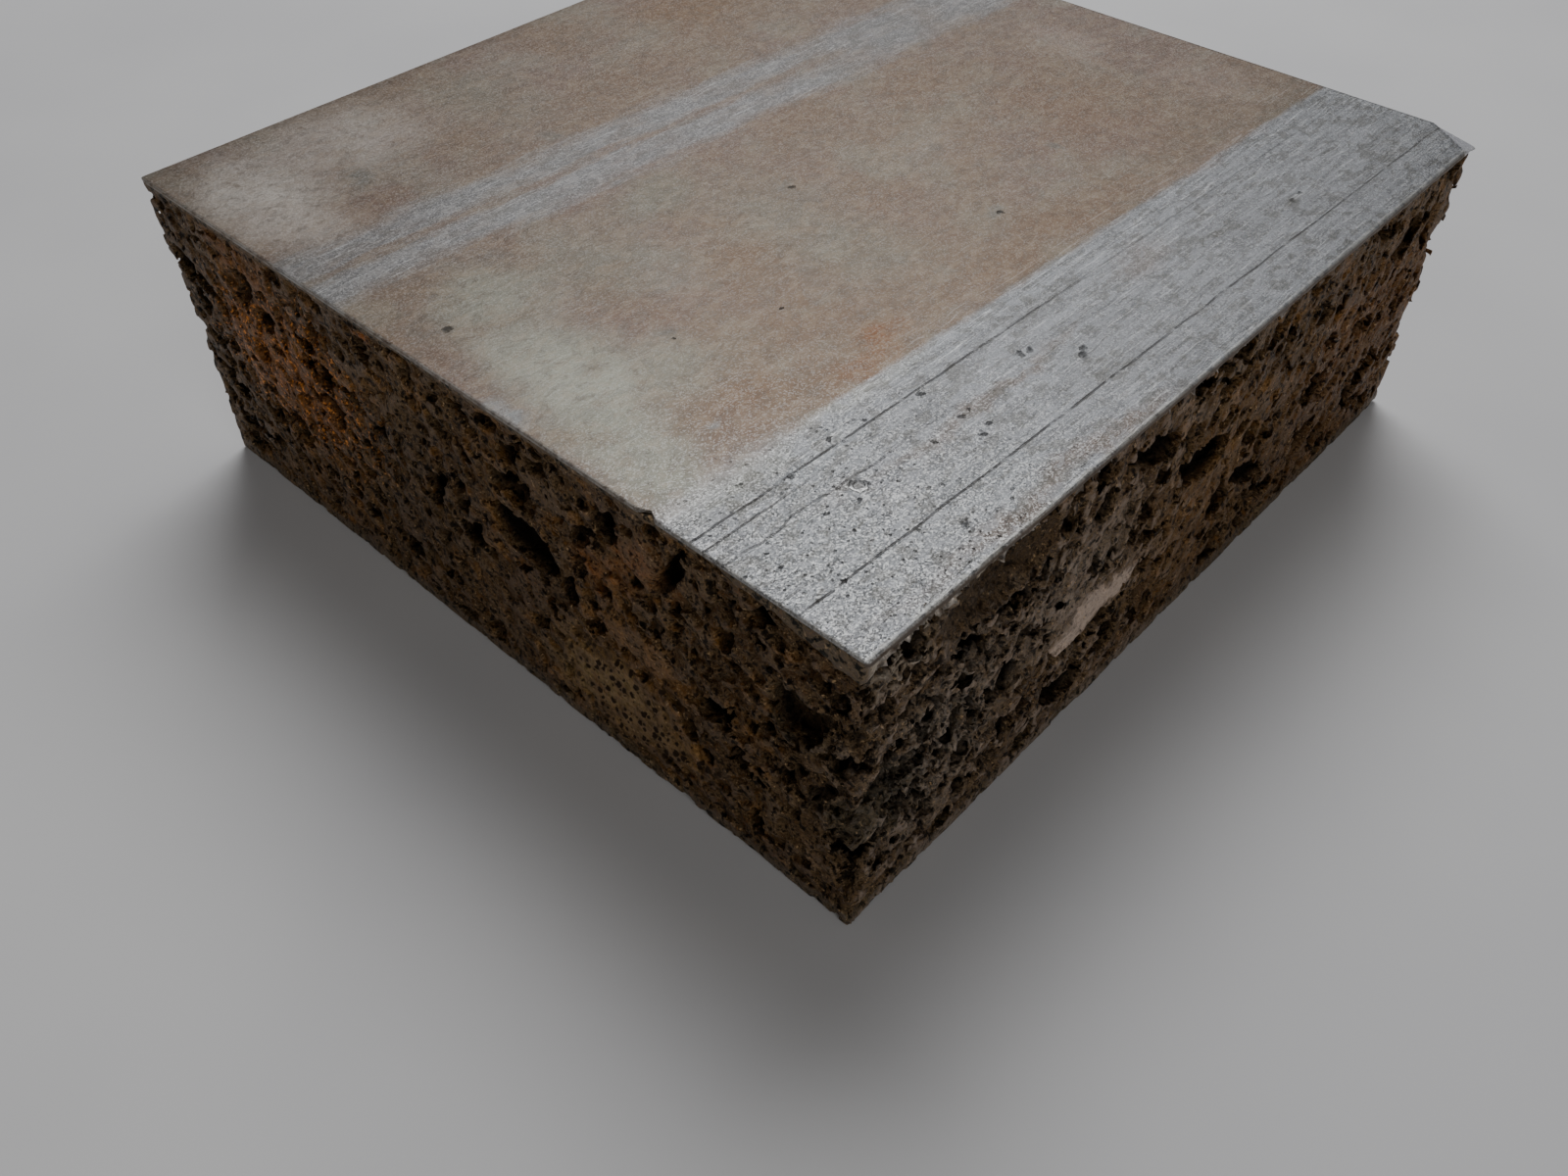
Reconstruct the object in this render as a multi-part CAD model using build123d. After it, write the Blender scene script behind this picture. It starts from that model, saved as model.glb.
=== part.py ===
from build123d import *
import os
import random
from math import atan, cos, degrees, radians, sin, sqrt

# A sawn block of closed-cell aluminium foam, in millimetres. X runs across the mould lines, Y along
# them and Z up. The origin is on the underside, in the middle. The near corner is at +X, -Y.
width = 140.0
length = 144.0
height = 50.0

# The dense skin that the foam cooled against the mould with, closed above and below the cells
top_skin = 1.3
bottom_skin = 1.6
lens_depth = 4.5       # at the near corner the top skin is this thick on the -Y side,
lens_length = 21.0     # and it thins out to top_skin over this length

# The upper edge of the +X side, where the skin turns over and stands out past the foam
lip_radius = 0.8
lip_depth = 1.3
lip_overhang = 0.5

# Edges and corners
near_corner_radius = 0.9
torn_corner = (7.5, 5.5, 1.4)     # the far +X corner: along X, along Y and down
stepped_edge = (1.6, 12.0, 37.5)  # the far -Y edge: across X, along Y and up from the underside
edge_notch_from_corner = 31.5
edge_notch_width = 1.8
edge_notch_depth = 1.0
edge_notch_drop = 3.2

# Mould lines on the top face: distance from the +X side where a line starts, at the -Y edge,
# how far it drifts towards that side per 100 mm, and its length
mould_lines = [
    (24.8, 2.6, length),
    (22.8, 2.6, 16.0),
    (20.0, 4.0, 116.0),
    (11.7, 0.8, 12.0),
    (9.2, 2.1, length),
]
mould_line_width = 0.4
mould_line_depth = 0.25

# The largest cells that the saw opened, each as: distance from the near corner, distance below the
# top face, width, height, and lean in degrees from level, anticlockwise as seen from outside
front_voids = [
    (57.0, 20.0, 13.0, 7.4, -15),
    (28.6, 7.4, 10.4, 3.6, 60),
    (39.8, 7.0, 4.6, 5.4, 0),
    (44.9, 12.2, 4.8, 3.2, 45),
    (48.8, 24.0, 3.6, 5.2, 0),
    (43.6, 27.0, 4.0, 2.6, 40),
    (9.8, 17.0, 7.4, 8.4, 0),
    (23.0, 27.0, 6.4, 3.6, 25),
    (16.2, 43.4, 2.8, 5.0, 0),
    (27.3, 34.2, 3.0, 3.4, 0),
    (19.0, 33.0, 3.6, 4.4, 0),
    (20.8, 12.6, 2.6, 4.0, 0),
    (76.0, 23.0, 8.0, 3.4, 70),
    (113.7, 13.2, 4.4, 3.8, 0),
    (118.0, 21.0, 4.2, 2.8, 20),
    (46.0, 17.4, 2.4, 3.6, 0),
    (52.0, 5.4, 3.6, 2.2, 10),
    (61.0, 3.4, 3.6, 1.8, -10),
    (66.5, 4.6, 4.6, 2.2, -15),
]
side_voids = [
    (9.4, 5.6, 3.8, 4.4, 0),
    (14.0, 21.2, 4.6, 5.2, 0),
    (18.6, 27.0, 3.8, 3.4, -30),
    (29.0, 28.2, 7.4, 5.6, 0),
    (21.6, 43.0, 4.6, 3.8, -20),
    (30.9, 38.6, 4.2, 5.4, 0),
    (44.2, 42.4, 10.4, 5.4, -25),
    (54.6, 40.4, 5.4, 5.4, 0),
    (46.6, 10.4, 3.8, 5.6, 0),
    (57.8, 9.2, 10.6, 4.6, -25),
    (58.7, 19.6, 5.4, 3.8, -40),
    (72.6, 20.0, 13.0, 6.4, -8),
    (74.0, 8.0, 4.4, 3.0, 0),
    (86.4, 6.2, 4.2, 2.6, -20),
    (86.6, 23.6, 5.0, 3.6, -20),
    (90.5, 33.4, 12.4, 3.8, -30),
    (102.0, 11.4, 5.6, 3.0, -20),
    (107.8, 27.4, 7.4, 5.4, 0),
    (10.2, 10.6, 3.0, 2.6, -20),
    (5.0, 12.4, 2.6, 4.4, 0),
]
# The wide shallow recess under the lip of the +X side: the same first four sizes, then its depth
lip_recess = (25.0, 7.4, 23.0, 9.0, 2.6)
# Cells that the saws opened right on an upright edge: the corner's side in X and in Y, the height of
# the cell's middle, its width across the corner, its height, and how far it reaches in
edge_voids = [
    (1, -1, 20.0, 10.0, 7.0, 4.6),
    (1, -1, 36.5, 3.6, 4.2, 2.4),
    (1, -1, 8.6, 4.4, 4.0, 2.6),
    (-1, -1, 24.5, 5.6, 4.4, 3.4),
    (1, 1, 33.0, 6.0, 5.0, 3.6),
    (1, 1, 17.5, 5.0, 6.4, 3.0),
    (-1, 1, 29.0, 5.4, 4.8, 3.2),
]

# The smaller cells, scattered over each sawn side from the largest to the smallest
cell_count = 108
largest_cell = 4.6
smallest_cell = 1.7
small_cell_depth = 0.62  # depth as a share of the cell's width
large_cell_depth = 0.75  # and that of a large void, as a share of its mean width and height
cell_wall = 0.45         # the least metal left between two cells
edge_wall = 1.6          # and between a cell and an upright edge
flattest_cell = 0.7      # least height of a small cell as a share of its width
steepest_lean = 40       # most degrees that its width leans from level
throw_count = 200
scatter_seed = 11

# Half an opened cell as rings of one outline: height above the sawn side as a share of the depth,
# and size as a share of the mouth. A large cell swells inside its mouth before it closes, and the
# recess only narrows.
small_cell_rings = [(0.30, 1.12), (-1.0, 0.60)]
large_cell_rings = [(0.30, 0.94), (-0.40, 1.08), (-1.0, 0.55)]
recess_rings = [(0.40, 1.05), (-0.55, 0.82), (-1.0, 0.45)]
ring_shift = 0.08        # sideways shift of the floor as a share of the width
small_cell_corner_counts = (5, 6)
large_cell_corner_count = 7
recess_corner_count = 11
edge_void_corner_count = 6
corner_jitter = 0.2      # how far a corner strays, as a share of the angle between two

overcut = 1.0            # how far a cut runs past the face that it opens


def opened_cell(wide, tall, deep, corners, rings, draw):
    """An uneven cell with flat walls, about the origin of the XY plane and opening towards +Z."""
    turn = draw.uniform(0, 360)
    spread = [turn + (i + draw.uniform(-corner_jitter, corner_jitter)) * 360 / corners
              for i in range(corners)]
    outline = [(wide / 2 * cos(radians(a)), tall / 2 * sin(radians(a))) for a in spread]
    shift_x = draw.uniform(-ring_shift, ring_shift) * wide
    shift_y = draw.uniform(-ring_shift, ring_shift) * tall
    loops = [
        [(x * size - level * shift_x, y * size - level * shift_y, level * deep) for x, y in outline]
        for level, size in rings
    ]
    walls = [loops[0], loops[-1]]
    for upper, lower in zip(loops, loops[1:]):
        for i in range(corners):
            walls.append([upper[i - 1], upper[i], lower[i], lower[i - 1]])
    return Solid(Shell([Face(Wire.make_polygon(wall, close=True)) for wall in walls]))


def cast_block():
    """The block with its lip and its rounded near corner, before the cells are cut."""
    side = width / 2 - lip_overhang
    profile = Line((-width / 2, height), (-width / 2, 0))
    profile += Polyline((-width / 2, 0), (side, 0), (side, height - lip_depth - lip_overhang),
                        (width / 2, height - lip_depth), (width / 2, height - lip_radius))
    profile += RadiusArc((width / 2, height - lip_radius), (width / 2 - lip_radius, height), -lip_radius)
    profile += Line((width / 2 - lip_radius, height), (-width / 2, height))
    along = extrude(Plane.XZ * make_face(profile), length / 2, both=True)

    plan = Rectangle(width, length)
    near_corner = plan.vertices().sort_by(Axis.X)[-2:].sort_by(Axis.Y)[0]
    plan = fillet(near_corner, near_corner_radius)
    return along & extrude(plan, height)


def torn_corner_cut():
    """The flat break that took the tip off the top skin at the +X, +Y corner."""
    across, along, down = torn_corner
    tip = Vector(width / 2, length / 2, height)
    outward = (along * down, across * down, across * along)
    break_face = Plane(origin=tip - (across, 0, 0), x_dir=(across, -along, 0), z_dir=outward)
    reach = 2 * (across + along + down)
    return break_face * Box(reach, reach, reach, align=(Align.CENTER, Align.CENTER, Align.MIN))


def stepped_edge_cut():
    """The sliver broken out below the step on the far upright edge of the -Y side."""
    across, along, up = stepped_edge
    x, y = -width / 2, -length / 2
    outline = Polyline((x - overcut, y - overcut), (x + across, y - overcut), (x + across, y),
                       (x, y + along), (x - overcut, y + along), close=True)
    return extrude(make_face(outline), up)


def edge_notch_cut():
    """The small nick in the saw's edge of the top skin on the -Y side."""
    x, y = width / 2 - edge_notch_from_corner, -length / 2
    half = edge_notch_width / 2
    nick = Polyline((x - half, y - overcut), (x + half, y - overcut), (x + half, y),
                    (x, y + edge_notch_depth), (x - half, y), close=True)
    return Pos(0, 0, height - edge_notch_drop) * extrude(make_face(nick), edge_notch_drop + overcut)


def mould_line_cuts():
    """Shallow V grooves, each turned by its own small drift."""
    above = mould_line_depth
    half = mould_line_width / 2 * (mould_line_depth + above) / mould_line_depth
    groove = make_face(Polyline((-half, above), (half, above), (0, -mould_line_depth), close=True))
    cuts = []
    for from_side, drift, run in mould_lines:
        past_far_edge = overcut if run == length else 0
        bar = extrude(Plane.XZ * groove, -(overcut + run + past_far_edge))
        start = Pos(width / 2 - from_side, -length / 2 - overcut, height)
        cuts.append(start * Rot(0, 0, -degrees(atan(drift / 100))) * bar)
    return cuts


def sawn_sides():
    """Each sawn side's plane, with its X along the side, and the side's length, its known voids and
    the end where the near corner is, if the side has it."""
    foam_x = width / 2 - lip_overhang
    return [
        (Plane(origin=(0, -length / 2, 0), x_dir=(1, 0, 0), z_dir=(0, -1, 0)), width, front_voids, 1),
        (Plane(origin=(foam_x, 0, 0), x_dir=(0, 1, 0), z_dir=(1, 0, 0)), length, side_voids, -1),
        (Plane(origin=(0, length / 2, 0), x_dir=(-1, 0, 0), z_dir=(0, 1, 0)), width, [], 0),
        (Plane(origin=(-width / 2, 0, 0), x_dir=(0, -1, 0), z_dir=(-1, 0, 0)), length, [], 0),
    ]


def clear_of(others, u, v, size):
    """Whether a round cell leaves a wall to every oval one already placed."""
    room = size / 2 + cell_wall
    for other_u, other_v, wide, tall, lean in others:
        turn = radians(lean)
        du, dv = u - other_u, v - other_v
        along = du * cos(turn) + dv * sin(turn)
        across = dv * cos(turn) - du * sin(turn)
        if (along / (wide / 2 + room)) ** 2 + (across / (tall / 2 + room)) ** 2 < 1:
            return False
    return True


def top_margin(from_near):
    """Dense metal under the top face of the -Y side, at a distance from the near corner."""
    thinning = (lens_depth - top_skin) * from_near / lens_length
    return max(top_skin, lens_depth - thinning, lip_depth + lip_overhang)


def scattered_cells(side_length, taken, near_end, draw):
    """Places for the small cells of one side: each is thrown at random until it lands clear."""
    placed = []
    for index in range(cell_count):
        size = largest_cell - (largest_cell - smallest_cell) * sqrt(index / cell_count)
        reach = side_length / 2 - edge_wall - size / 2 - small_cell_depth * size
        for _ in range(throw_count):
            u = draw.uniform(-reach, reach)
            from_near = side_length / 2 - u if near_end > 0 else lens_length
            highest = height - top_margin(from_near) - size / 2
            v = draw.uniform(bottom_skin + size / 2, highest)
            if clear_of(taken + placed, u, v, size):
                placed.append((u, v, size, size, 0))
                break
    return placed


def recess_oval():
    """Where the recess under the lip lies on the +X side, as an oval that clear_of can read."""
    from_near, below, wide, tall, _ = lip_recess
    return (from_near - length / 2, height - below, wide, tall, 0)


def recess_cut():
    """The wide, smooth hollow under the lip of the +X side."""
    side_plane = sawn_sides()[1][0]
    u, v, wide, tall, _ = recess_oval()
    deep = lip_recess[-1]
    draw = random.Random(scatter_seed)
    hollow = opened_cell(wide, tall, deep, recess_corner_count, recess_rings, draw)
    return side_plane * Pos(u, v, 0) * hollow


def open_cells():
    """Every cell that the saws cut open, as solids to take away."""
    draw = random.Random(scatter_seed)
    cells = []
    for plane, side_length, voids, near_end in sawn_sides():
        known = [(near_end * (side_length / 2 - from_near), height - below, wide, tall, lean)
                 for from_near, below, wide, tall, lean in voids]
        for u, v, wide, tall, lean in known:
            deep = large_cell_depth * (wide + tall) / 2
            void = opened_cell(wide, tall, deep, large_cell_corner_count, large_cell_rings, draw)
            cells.append(plane * Pos(u, v, 0) * Rot(0, 0, lean) * void)
        at_edges = [(side * side_length / 2, up, wide, tall, 0)
                    for side in (1, -1) for _, _, up, wide, tall, _ in edge_voids]
        taken = known + at_edges + ([recess_oval()] if voids is side_voids else [])
        for u, v, size, _, _ in scattered_cells(side_length, taken, near_end, draw):
            deep = small_cell_depth * size
            tall = size * draw.uniform(flattest_cell, 1)
            corners = draw.choice(small_cell_corner_counts)
            small = opened_cell(size, tall, deep, corners, small_cell_rings, draw)
            lean = draw.uniform(-steepest_lean, steepest_lean)
            cells.append(plane * Pos(u, v, 0) * Rot(0, 0, lean) * small)
    for side_x, side_y, up, wide, tall, deep in edge_voids:
        foam_x = width / 2 - lip_overhang if side_x > 0 else -width / 2
        outward = Plane(origin=(foam_x, side_y * length / 2, up), x_dir=(-side_y, side_x, 0),
                        z_dir=(side_x, side_y, 0))
        void = opened_cell(wide, tall, deep, edge_void_corner_count, small_cell_rings, draw)
        cells.append(outward * void)
    return cells


def foam_block():
    block = cast_block() - torn_corner_cut() - stepped_edge_cut() - edge_notch_cut() - recess_cut()
    return block - mould_line_cuts() - open_cells()


os.makedirs("parts", exist_ok=True)
export_step(foam_block(), "parts/foam_block.step")
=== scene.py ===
import math
from functools import partial, reduce

import bpy
import numpy as np
from mathutils import Matrix, Vector, noise


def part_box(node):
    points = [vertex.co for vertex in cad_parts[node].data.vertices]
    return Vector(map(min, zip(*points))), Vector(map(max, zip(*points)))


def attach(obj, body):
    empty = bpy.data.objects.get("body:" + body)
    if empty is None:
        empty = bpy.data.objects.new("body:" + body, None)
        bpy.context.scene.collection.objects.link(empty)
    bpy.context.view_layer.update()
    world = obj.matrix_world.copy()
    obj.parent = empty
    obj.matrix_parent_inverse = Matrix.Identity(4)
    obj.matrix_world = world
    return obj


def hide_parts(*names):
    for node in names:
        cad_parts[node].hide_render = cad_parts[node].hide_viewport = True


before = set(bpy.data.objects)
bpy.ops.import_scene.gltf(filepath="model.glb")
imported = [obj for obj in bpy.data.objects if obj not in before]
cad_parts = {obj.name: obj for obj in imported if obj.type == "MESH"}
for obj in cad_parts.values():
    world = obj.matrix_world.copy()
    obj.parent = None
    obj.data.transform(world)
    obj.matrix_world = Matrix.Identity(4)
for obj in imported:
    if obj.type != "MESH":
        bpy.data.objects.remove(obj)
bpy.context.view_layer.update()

# Shapes are worked out in millimetres in the part's own frame, and made in metres
millimetre = 0.001
lowX, lowY, lowZ = [round(1000 * value, 3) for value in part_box("foam_block")[0]]
highX, highY, highZ = [round(1000 * value, 3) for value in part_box("foam_block")[1]]

blockSettings = {
    "lipOverhang": 0.5,             # how far the lip of the top skin stands out past the foam at +X
    "sheetThickness": 0.45,         # the top skin's own mesh; the foam slabs carry the rest of it
    "topSkin": 1.3,
    "bottomSkin": 1.6,
    "lensDepth": 4.5,               # dense metal under the top skin at the near corner
    "lensLength": 21.0,
    "tornCorner": (7.5, 5.5, 1.4),  # the far +X corner: along X, along Y and down
    "steppedEdge": (1.6, 12.0, 37.5),
}
foamX = highX - blockSettings["lipOverhang"]


# Node helpers, the same for Geometry Nodes and for materials. A node goes into the tree that its
# inputs come from
def isSocket(value):
    return isinstance(value, bpy.types.NodeSocket)


def treeOf(*values):
    return next(value.id_data for value in values if isSocket(value))


def feed(socket, value):
    if isSocket(value):
        socket.id_data.links.new(value, socket)
    else:
        socket.default_value = value


def addNode(tree, kind, inputs=None, **settings):
    node = tree.nodes.new(kind)
    for name, value in settings.items():
        setattr(node, name, value)
    for name, value in (inputs or {}).items():
        feed(node.inputs[name], value)
    return node


def calc(operation, *values):
    node = addNode(treeOf(*values), "ShaderNodeMath", operation=operation)
    for socket, value in zip(node.inputs, values):
        feed(socket, value)
    return node.outputs[0]


times, timesPlus, plus, minus, smaller, larger = [
    partial(calc, name) for name in ("MULTIPLY", "MULTIPLY_ADD", "ADD", "SUBTRACT", "MINIMUM", "MAXIMUM")]


def vectorCalc(operation, *values, scale=None):
    node = addNode(treeOf(*values, scale), "ShaderNodeVectorMath", operation=operation)
    for socket, value in zip(node.inputs, values):
        feed(socket, value)
    if scale is not None:
        feed(node.inputs["Scale"], scale)
    return node.outputs["Value" if operation in ("LENGTH", "DISTANCE", "DOT_PRODUCT") else "Vector"]


def smoothStep(value, start, end, low=0.0, high=1.0):
    inputs = {"Value": value, "From Min": start, "From Max": end, "To Min": low, "To Max": high}
    node = addNode(treeOf(value), "ShaderNodeMapRange", inputs, interpolation_type="SMOOTHSTEP")
    return node.outputs["Result"]


def noiseValue(place, scale, detail=2.0, roughness=0.5):
    inputs = {"Vector": place, "Scale": scale, "Detail": detail, "Roughness": roughness}
    return addNode(treeOf(place), "ShaderNodeTexNoise", inputs).outputs["Fac"]


def noiseShift(place, scale, detail, amount):
    made = addNode(treeOf(place), "ShaderNodeTexNoise", {"Vector": place, "Scale": scale, "Detail": detail})
    centred = vectorCalc("SUBTRACT", made.outputs["Color"], (0.5, 0.5, 0.5))
    return vectorCalc("SCALE", centred, scale=amount)


def drifted(place, scale, detail, amount):
    return vectorCalc("ADD", place, noiseShift(place, scale, detail, amount))


def cellsAt(place, scale, **settings):
    inputs = {"Vector": place, "Scale": scale}
    return addNode(treeOf(place), "ShaderNodeTexVoronoi", inputs, **settings).outputs


def stretched(place, factors):
    return vectorCalc("MULTIPLY", place, factors)


def splitVector(place):
    return addNode(treeOf(place), "ShaderNodeSeparateXYZ", {0: place}).outputs


def newTree(name, kind, inputs, outputs):
    tree = bpy.data.node_groups.new(name, kind)
    for label, socketType, start in inputs:
        socket = tree.interface.new_socket(label, in_out="INPUT", socket_type=socketType)
        if start is not None:
            socket.default_value = start
    for label, socketType in outputs:
        tree.interface.new_socket(label, in_out="OUTPUT", socket_type=socketType)
    return tree, tree.nodes.new("NodeGroupInput").outputs, tree.nodes.new("NodeGroupOutput").inputs


# How each Geometry Nodes tree ends: one real, smooth mesh in its material
def finishTree(tree, geometry, material, result):
    real = addNode(tree, "GeometryNodeRealizeInstances", {"Geometry": geometry})
    smooth = addNode(tree, "GeometryNodeSetShadeSmooth", {"Geometry": real.outputs[0]})
    painted = addNode(tree, "GeometryNodeSetMaterial", {"Geometry": smooth.outputs[0], "Material": material})
    feed(result, painted.outputs[0])


# A soft oval spot, 1 in its middle and 0 outside, for zones in the foam and stains on the metal.
# Factors and shift turn its oval into a ball of radius 1
def spotGroup(kind):
    inputs = [("Place", "NodeSocketVector", None), ("Factors", "NodeSocketVector", (1, 1, 1)),
              ("Shift", "NodeSocketVector", None), ("Softness", "NodeSocketFloat", 0.5)]
    tree, given, result = newTree("softSpot", kind, inputs, [("Mask", "NodeSocketFloat")])
    inSpot = vectorCalc("MULTIPLY_ADD", given["Place"], given["Factors"], given["Shift"])
    inner = minus(1.0, given["Softness"])
    feed(result["Mask"], smoothStep(vectorCalc("LENGTH", inSpot), 1.0, inner))
    return tree


foamSpot = spotGroup("GeometryNodeTree")
paintSpot = spotGroup("ShaderNodeTree")


def spotMask(place, centre, radii, softness=0.5):
    tree = treeOf(place)
    inGeometry = tree.bl_idname == "GeometryNodeTree"
    kind = "GeometryNodeGroup" if inGeometry else "ShaderNodeGroup"
    factors = tuple(1 / radius for radius in radii)
    shift = tuple(-at / radius for at, radius in zip(centre, radii))
    inputs = {"Place": place, "Factors": factors, "Shift": shift, "Softness": softness}
    return addNode(tree, kind, inputs, node_tree=foamSpot if inGeometry else paintSpot).outputs["Mask"]


# Distance under the sawn sides, in millimetres
def sawnDepth(x, y):
    acrossX = smaller(minus(x, lowX + 0.03), minus(foamX, x))
    acrossY = smaller(minus(y, lowY + 0.03), minus(highY - 0.03, y))
    return calc("SMOOTH_MIN", acrossX, acrossY, 1.0)


# Depth of dense metal under the top face, thicker on the -Y side towards the near corner
def skinDepth(x, y):
    fromNear = minus(highX, x)
    extra = blockSettings["lensDepth"] - blockSettings["topSkin"]
    lens = timesPlus(fromNear, -extra / blockSettings["lensLength"], extra)
    nearFront = smoothStep(y, lowY + 4.0, lowY + 1.5)
    lens = times(larger(lens, 0.0), nearFront)
    return plus(lens, blockSettings["topSkin"])


# The foam: cells cut open by the saw, made as slabs of one field so that they meet unseen
foamSettings = {
    "slabDepth": 8.0,
    "slabOverlap": 0.3,
    "nearEnd": 12.0,           # where the finer slabs end: X on the -Y side,
    "nearSideEnd": -18.0,      # and Y on the +X side
    "cellDepth": 5.6,          # how deep the opened cells reach
    "Large cell": 6.2,
    "Middle cell": 3.3,
    "Small cell": 1.9,
    "Crumb size": 1.25,
    "Flake size": 3.2,
    "Broken away": 0.75,       # the most that the saw tore out of the plain surface
    "Seed": 3.0,
    "sharpAngle": 50.0,
}
slabSettings = {
    "nearFrontFoam": {"voxel": 0.25, "triangles": 194000},
    "farFrontFoam": {"voxel": 0.34, "triangles": 140000},
    "nearSideFoam": {"voxel": 0.25, "triangles": 194000},
    "farSideFoam": {"voxel": 0.34, "triangles": 150000},
    "backFoam": {"voxel": 0.48, "triangles": 88000},
    "leftFoam": {"voxel": 0.48, "triangles": 88000},
}

# The largest opened cells, as in the part's source: from the near corner, below the top face,
# width, height, and lean in degrees anticlockwise as seen from outside. Two are given a little
# smaller here, because the torn flakes widen them
frontVoids = [
    (57.0, 20.0, 13.0, 7.4, -15), (28.6, 7.4, 10.4, 2.7, 60), (39.8, 7.0, 4.6, 5.4, 0),
    (44.9, 12.2, 4.8, 3.2, 45), (48.8, 24.0, 3.6, 5.2, 0), (43.6, 27.0, 4.0, 2.6, 40),
    (9.8, 17.0, 7.4, 8.4, 0), (23.0, 27.0, 6.4, 3.6, 25), (16.2, 43.4, 2.8, 5.0, 0),
    (27.3, 34.2, 3.0, 3.4, 0), (19.0, 33.0, 3.6, 4.4, 0), (20.8, 12.6, 2.6, 4.0, 0),
    (76.0, 23.0, 8.0, 3.4, 70), (113.7, 13.2, 4.4, 3.8, 0), (118.0, 21.0, 4.2, 2.8, 20),
    (46.0, 17.4, 2.4, 3.6, 0), (52.0, 5.4, 3.6, 2.2, 10), (61.0, 3.4, 3.6, 1.8, -10),
    (66.5, 4.6, 4.6, 2.2, -15),
]
sideVoids = [
    (9.4, 5.6, 3.8, 4.4, 0), (14.0, 21.2, 4.6, 5.2, 0), (18.6, 27.0, 3.8, 3.4, -30),
    (29.0, 28.2, 7.4, 5.6, 0), (21.6, 43.0, 4.6, 3.8, -20), (30.9, 38.6, 4.2, 5.4, 0),
    (44.2, 42.4, 10.4, 5.4, -25), (54.6, 40.4, 5.4, 5.4, 0), (46.6, 10.4, 3.8, 5.6, 0),
    (57.8, 9.2, 10.6, 4.6, -25), (58.7, 19.6, 5.4, 3.8, -40), (72.6, 20.0, 13.0, 6.4, -8),
    (74.0, 8.0, 4.4, 3.0, 0), (86.4, 6.2, 4.2, 2.6, -20), (86.6, 23.6, 5.0, 3.6, -20),
    (90.5, 33.4, 12.4, 3.8, -30), (102.0, 11.4, 5.6, 3.0, -20), (107.8, 27.4, 7.4, 5.4, 0),
    (10.2, 10.6, 3.0, 2.6, -20), (5.0, 12.4, 2.6, 4.4, 0),
]
edgeVoids = [
    (1, -1, 20.0, 10.0, 7.0, 3.2), (1, -1, 36.5, 3.6, 4.2, 2.4), (1, -1, 8.6, 4.4, 4.0, 2.6),
    (-1, -1, 24.5, 5.6, 4.4, 3.4), (1, 1, 33.0, 6.0, 5.0, 3.6), (1, 1, 17.5, 5.0, 6.4, 3.0),
    (-1, 1, 29.0, 5.4, 4.8, 3.2),
]
# Hollows torn out right under the skin, and cells too small for the source, in the same form
frontHollows = [
    (31.5, 2.2, 2.2, 4.4, 0), (36.0, 5.2, 2.6, 1.6, 20), (12.6, 6.9, 1.7, 1.9, 0),
    (17.2, 8.9, 1.5, 1.7, 0), (15.3, 14.9, 1.9, 1.7, 0), (14.4, 28.4, 1.8, 2.0, 0),
    (6.2, 6.9, 1.5, 1.7, 0), (57.5, 6.6, 4.2, 2.6, -10), (37.0, 19.5, 3.4, 1.7, -20),
    (33.0, 15.6, 3.0, 1.5, 15), (10.4, 36.0, 3.0, 1.4, 0), (53.0, 30.0, 2.4, 2.8, 0),
]
lipHollows = [
    (4.4, 4.2, 3.6, 2.8, 0), (8.2, 3.2, 4.4, 2.6, 10), (12.6, 3.8, 4.4, 3.0, -20),
    (17.6, 3.3, 4.4, 2.2, -10), (21.8, 4.0, 3.4, 2.6, -20), (38.6, 3.8, 4.0, 2.4, 0),
    (33.0, 3.0, 3.0, 1.8, 0), (52.0, 7.2, 3.2, 2.2, -30), (66.0, 4.0, 5.0, 2.6, -10),
    (97.0, 4.2, 4.0, 2.6, 0), (118.0, 5.0, 4.4, 3.0, 0),
]
sideHollows = [
    (6.0, 35.5, 3.0, 3.6, -20), (17.3, 30.4, 3.4, 4.0, -20), (21.6, 34.8, 3.6, 4.4, -25),
    (15.0, 40.4, 3.2, 2.8, -20), (9.0, 43.4, 2.6, 2.2, 0), (25.6, 19.4, 2.4, 3.4, -30),
    (33.4, 33.2, 3.2, 2.4, -40), (11.8, 16.6, 2.2, 3.0, -10),
]
# Zones with few cells or none: centre, radii, strength. The first has pinholes, which the paint draws
calmZones = [
    ((31.0, lowY, 11.5), (14.0, 5.0, 9.0), 1.0), ((35.0, lowY, 25.0), (8.0, 5.0, 3.4), 1.0),
    ((36.0, lowY, 43.0), (4.6, 4.0, 5.0), 1.0), ((foamX, -23.0, 19.8), (5.0, 10.0, 3.4), 1.0),
    ((foamX, -47.0, 43.5), (6.0, 14.0, 6.0), 1.0), ((56.0, lowY, 7.0), (13.0, 5.0, 9.0), 0.22),
    ((8.0, lowY, 10.0), (13.0, 5.0, 12.0), 0.12),
]
# Smooth hollows, as centre and radii: the recess under the lip
smoothHollows = [((foamX + 1.2, -47.0, 42.9), (4.0, 12.6, 5.2))]


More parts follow.
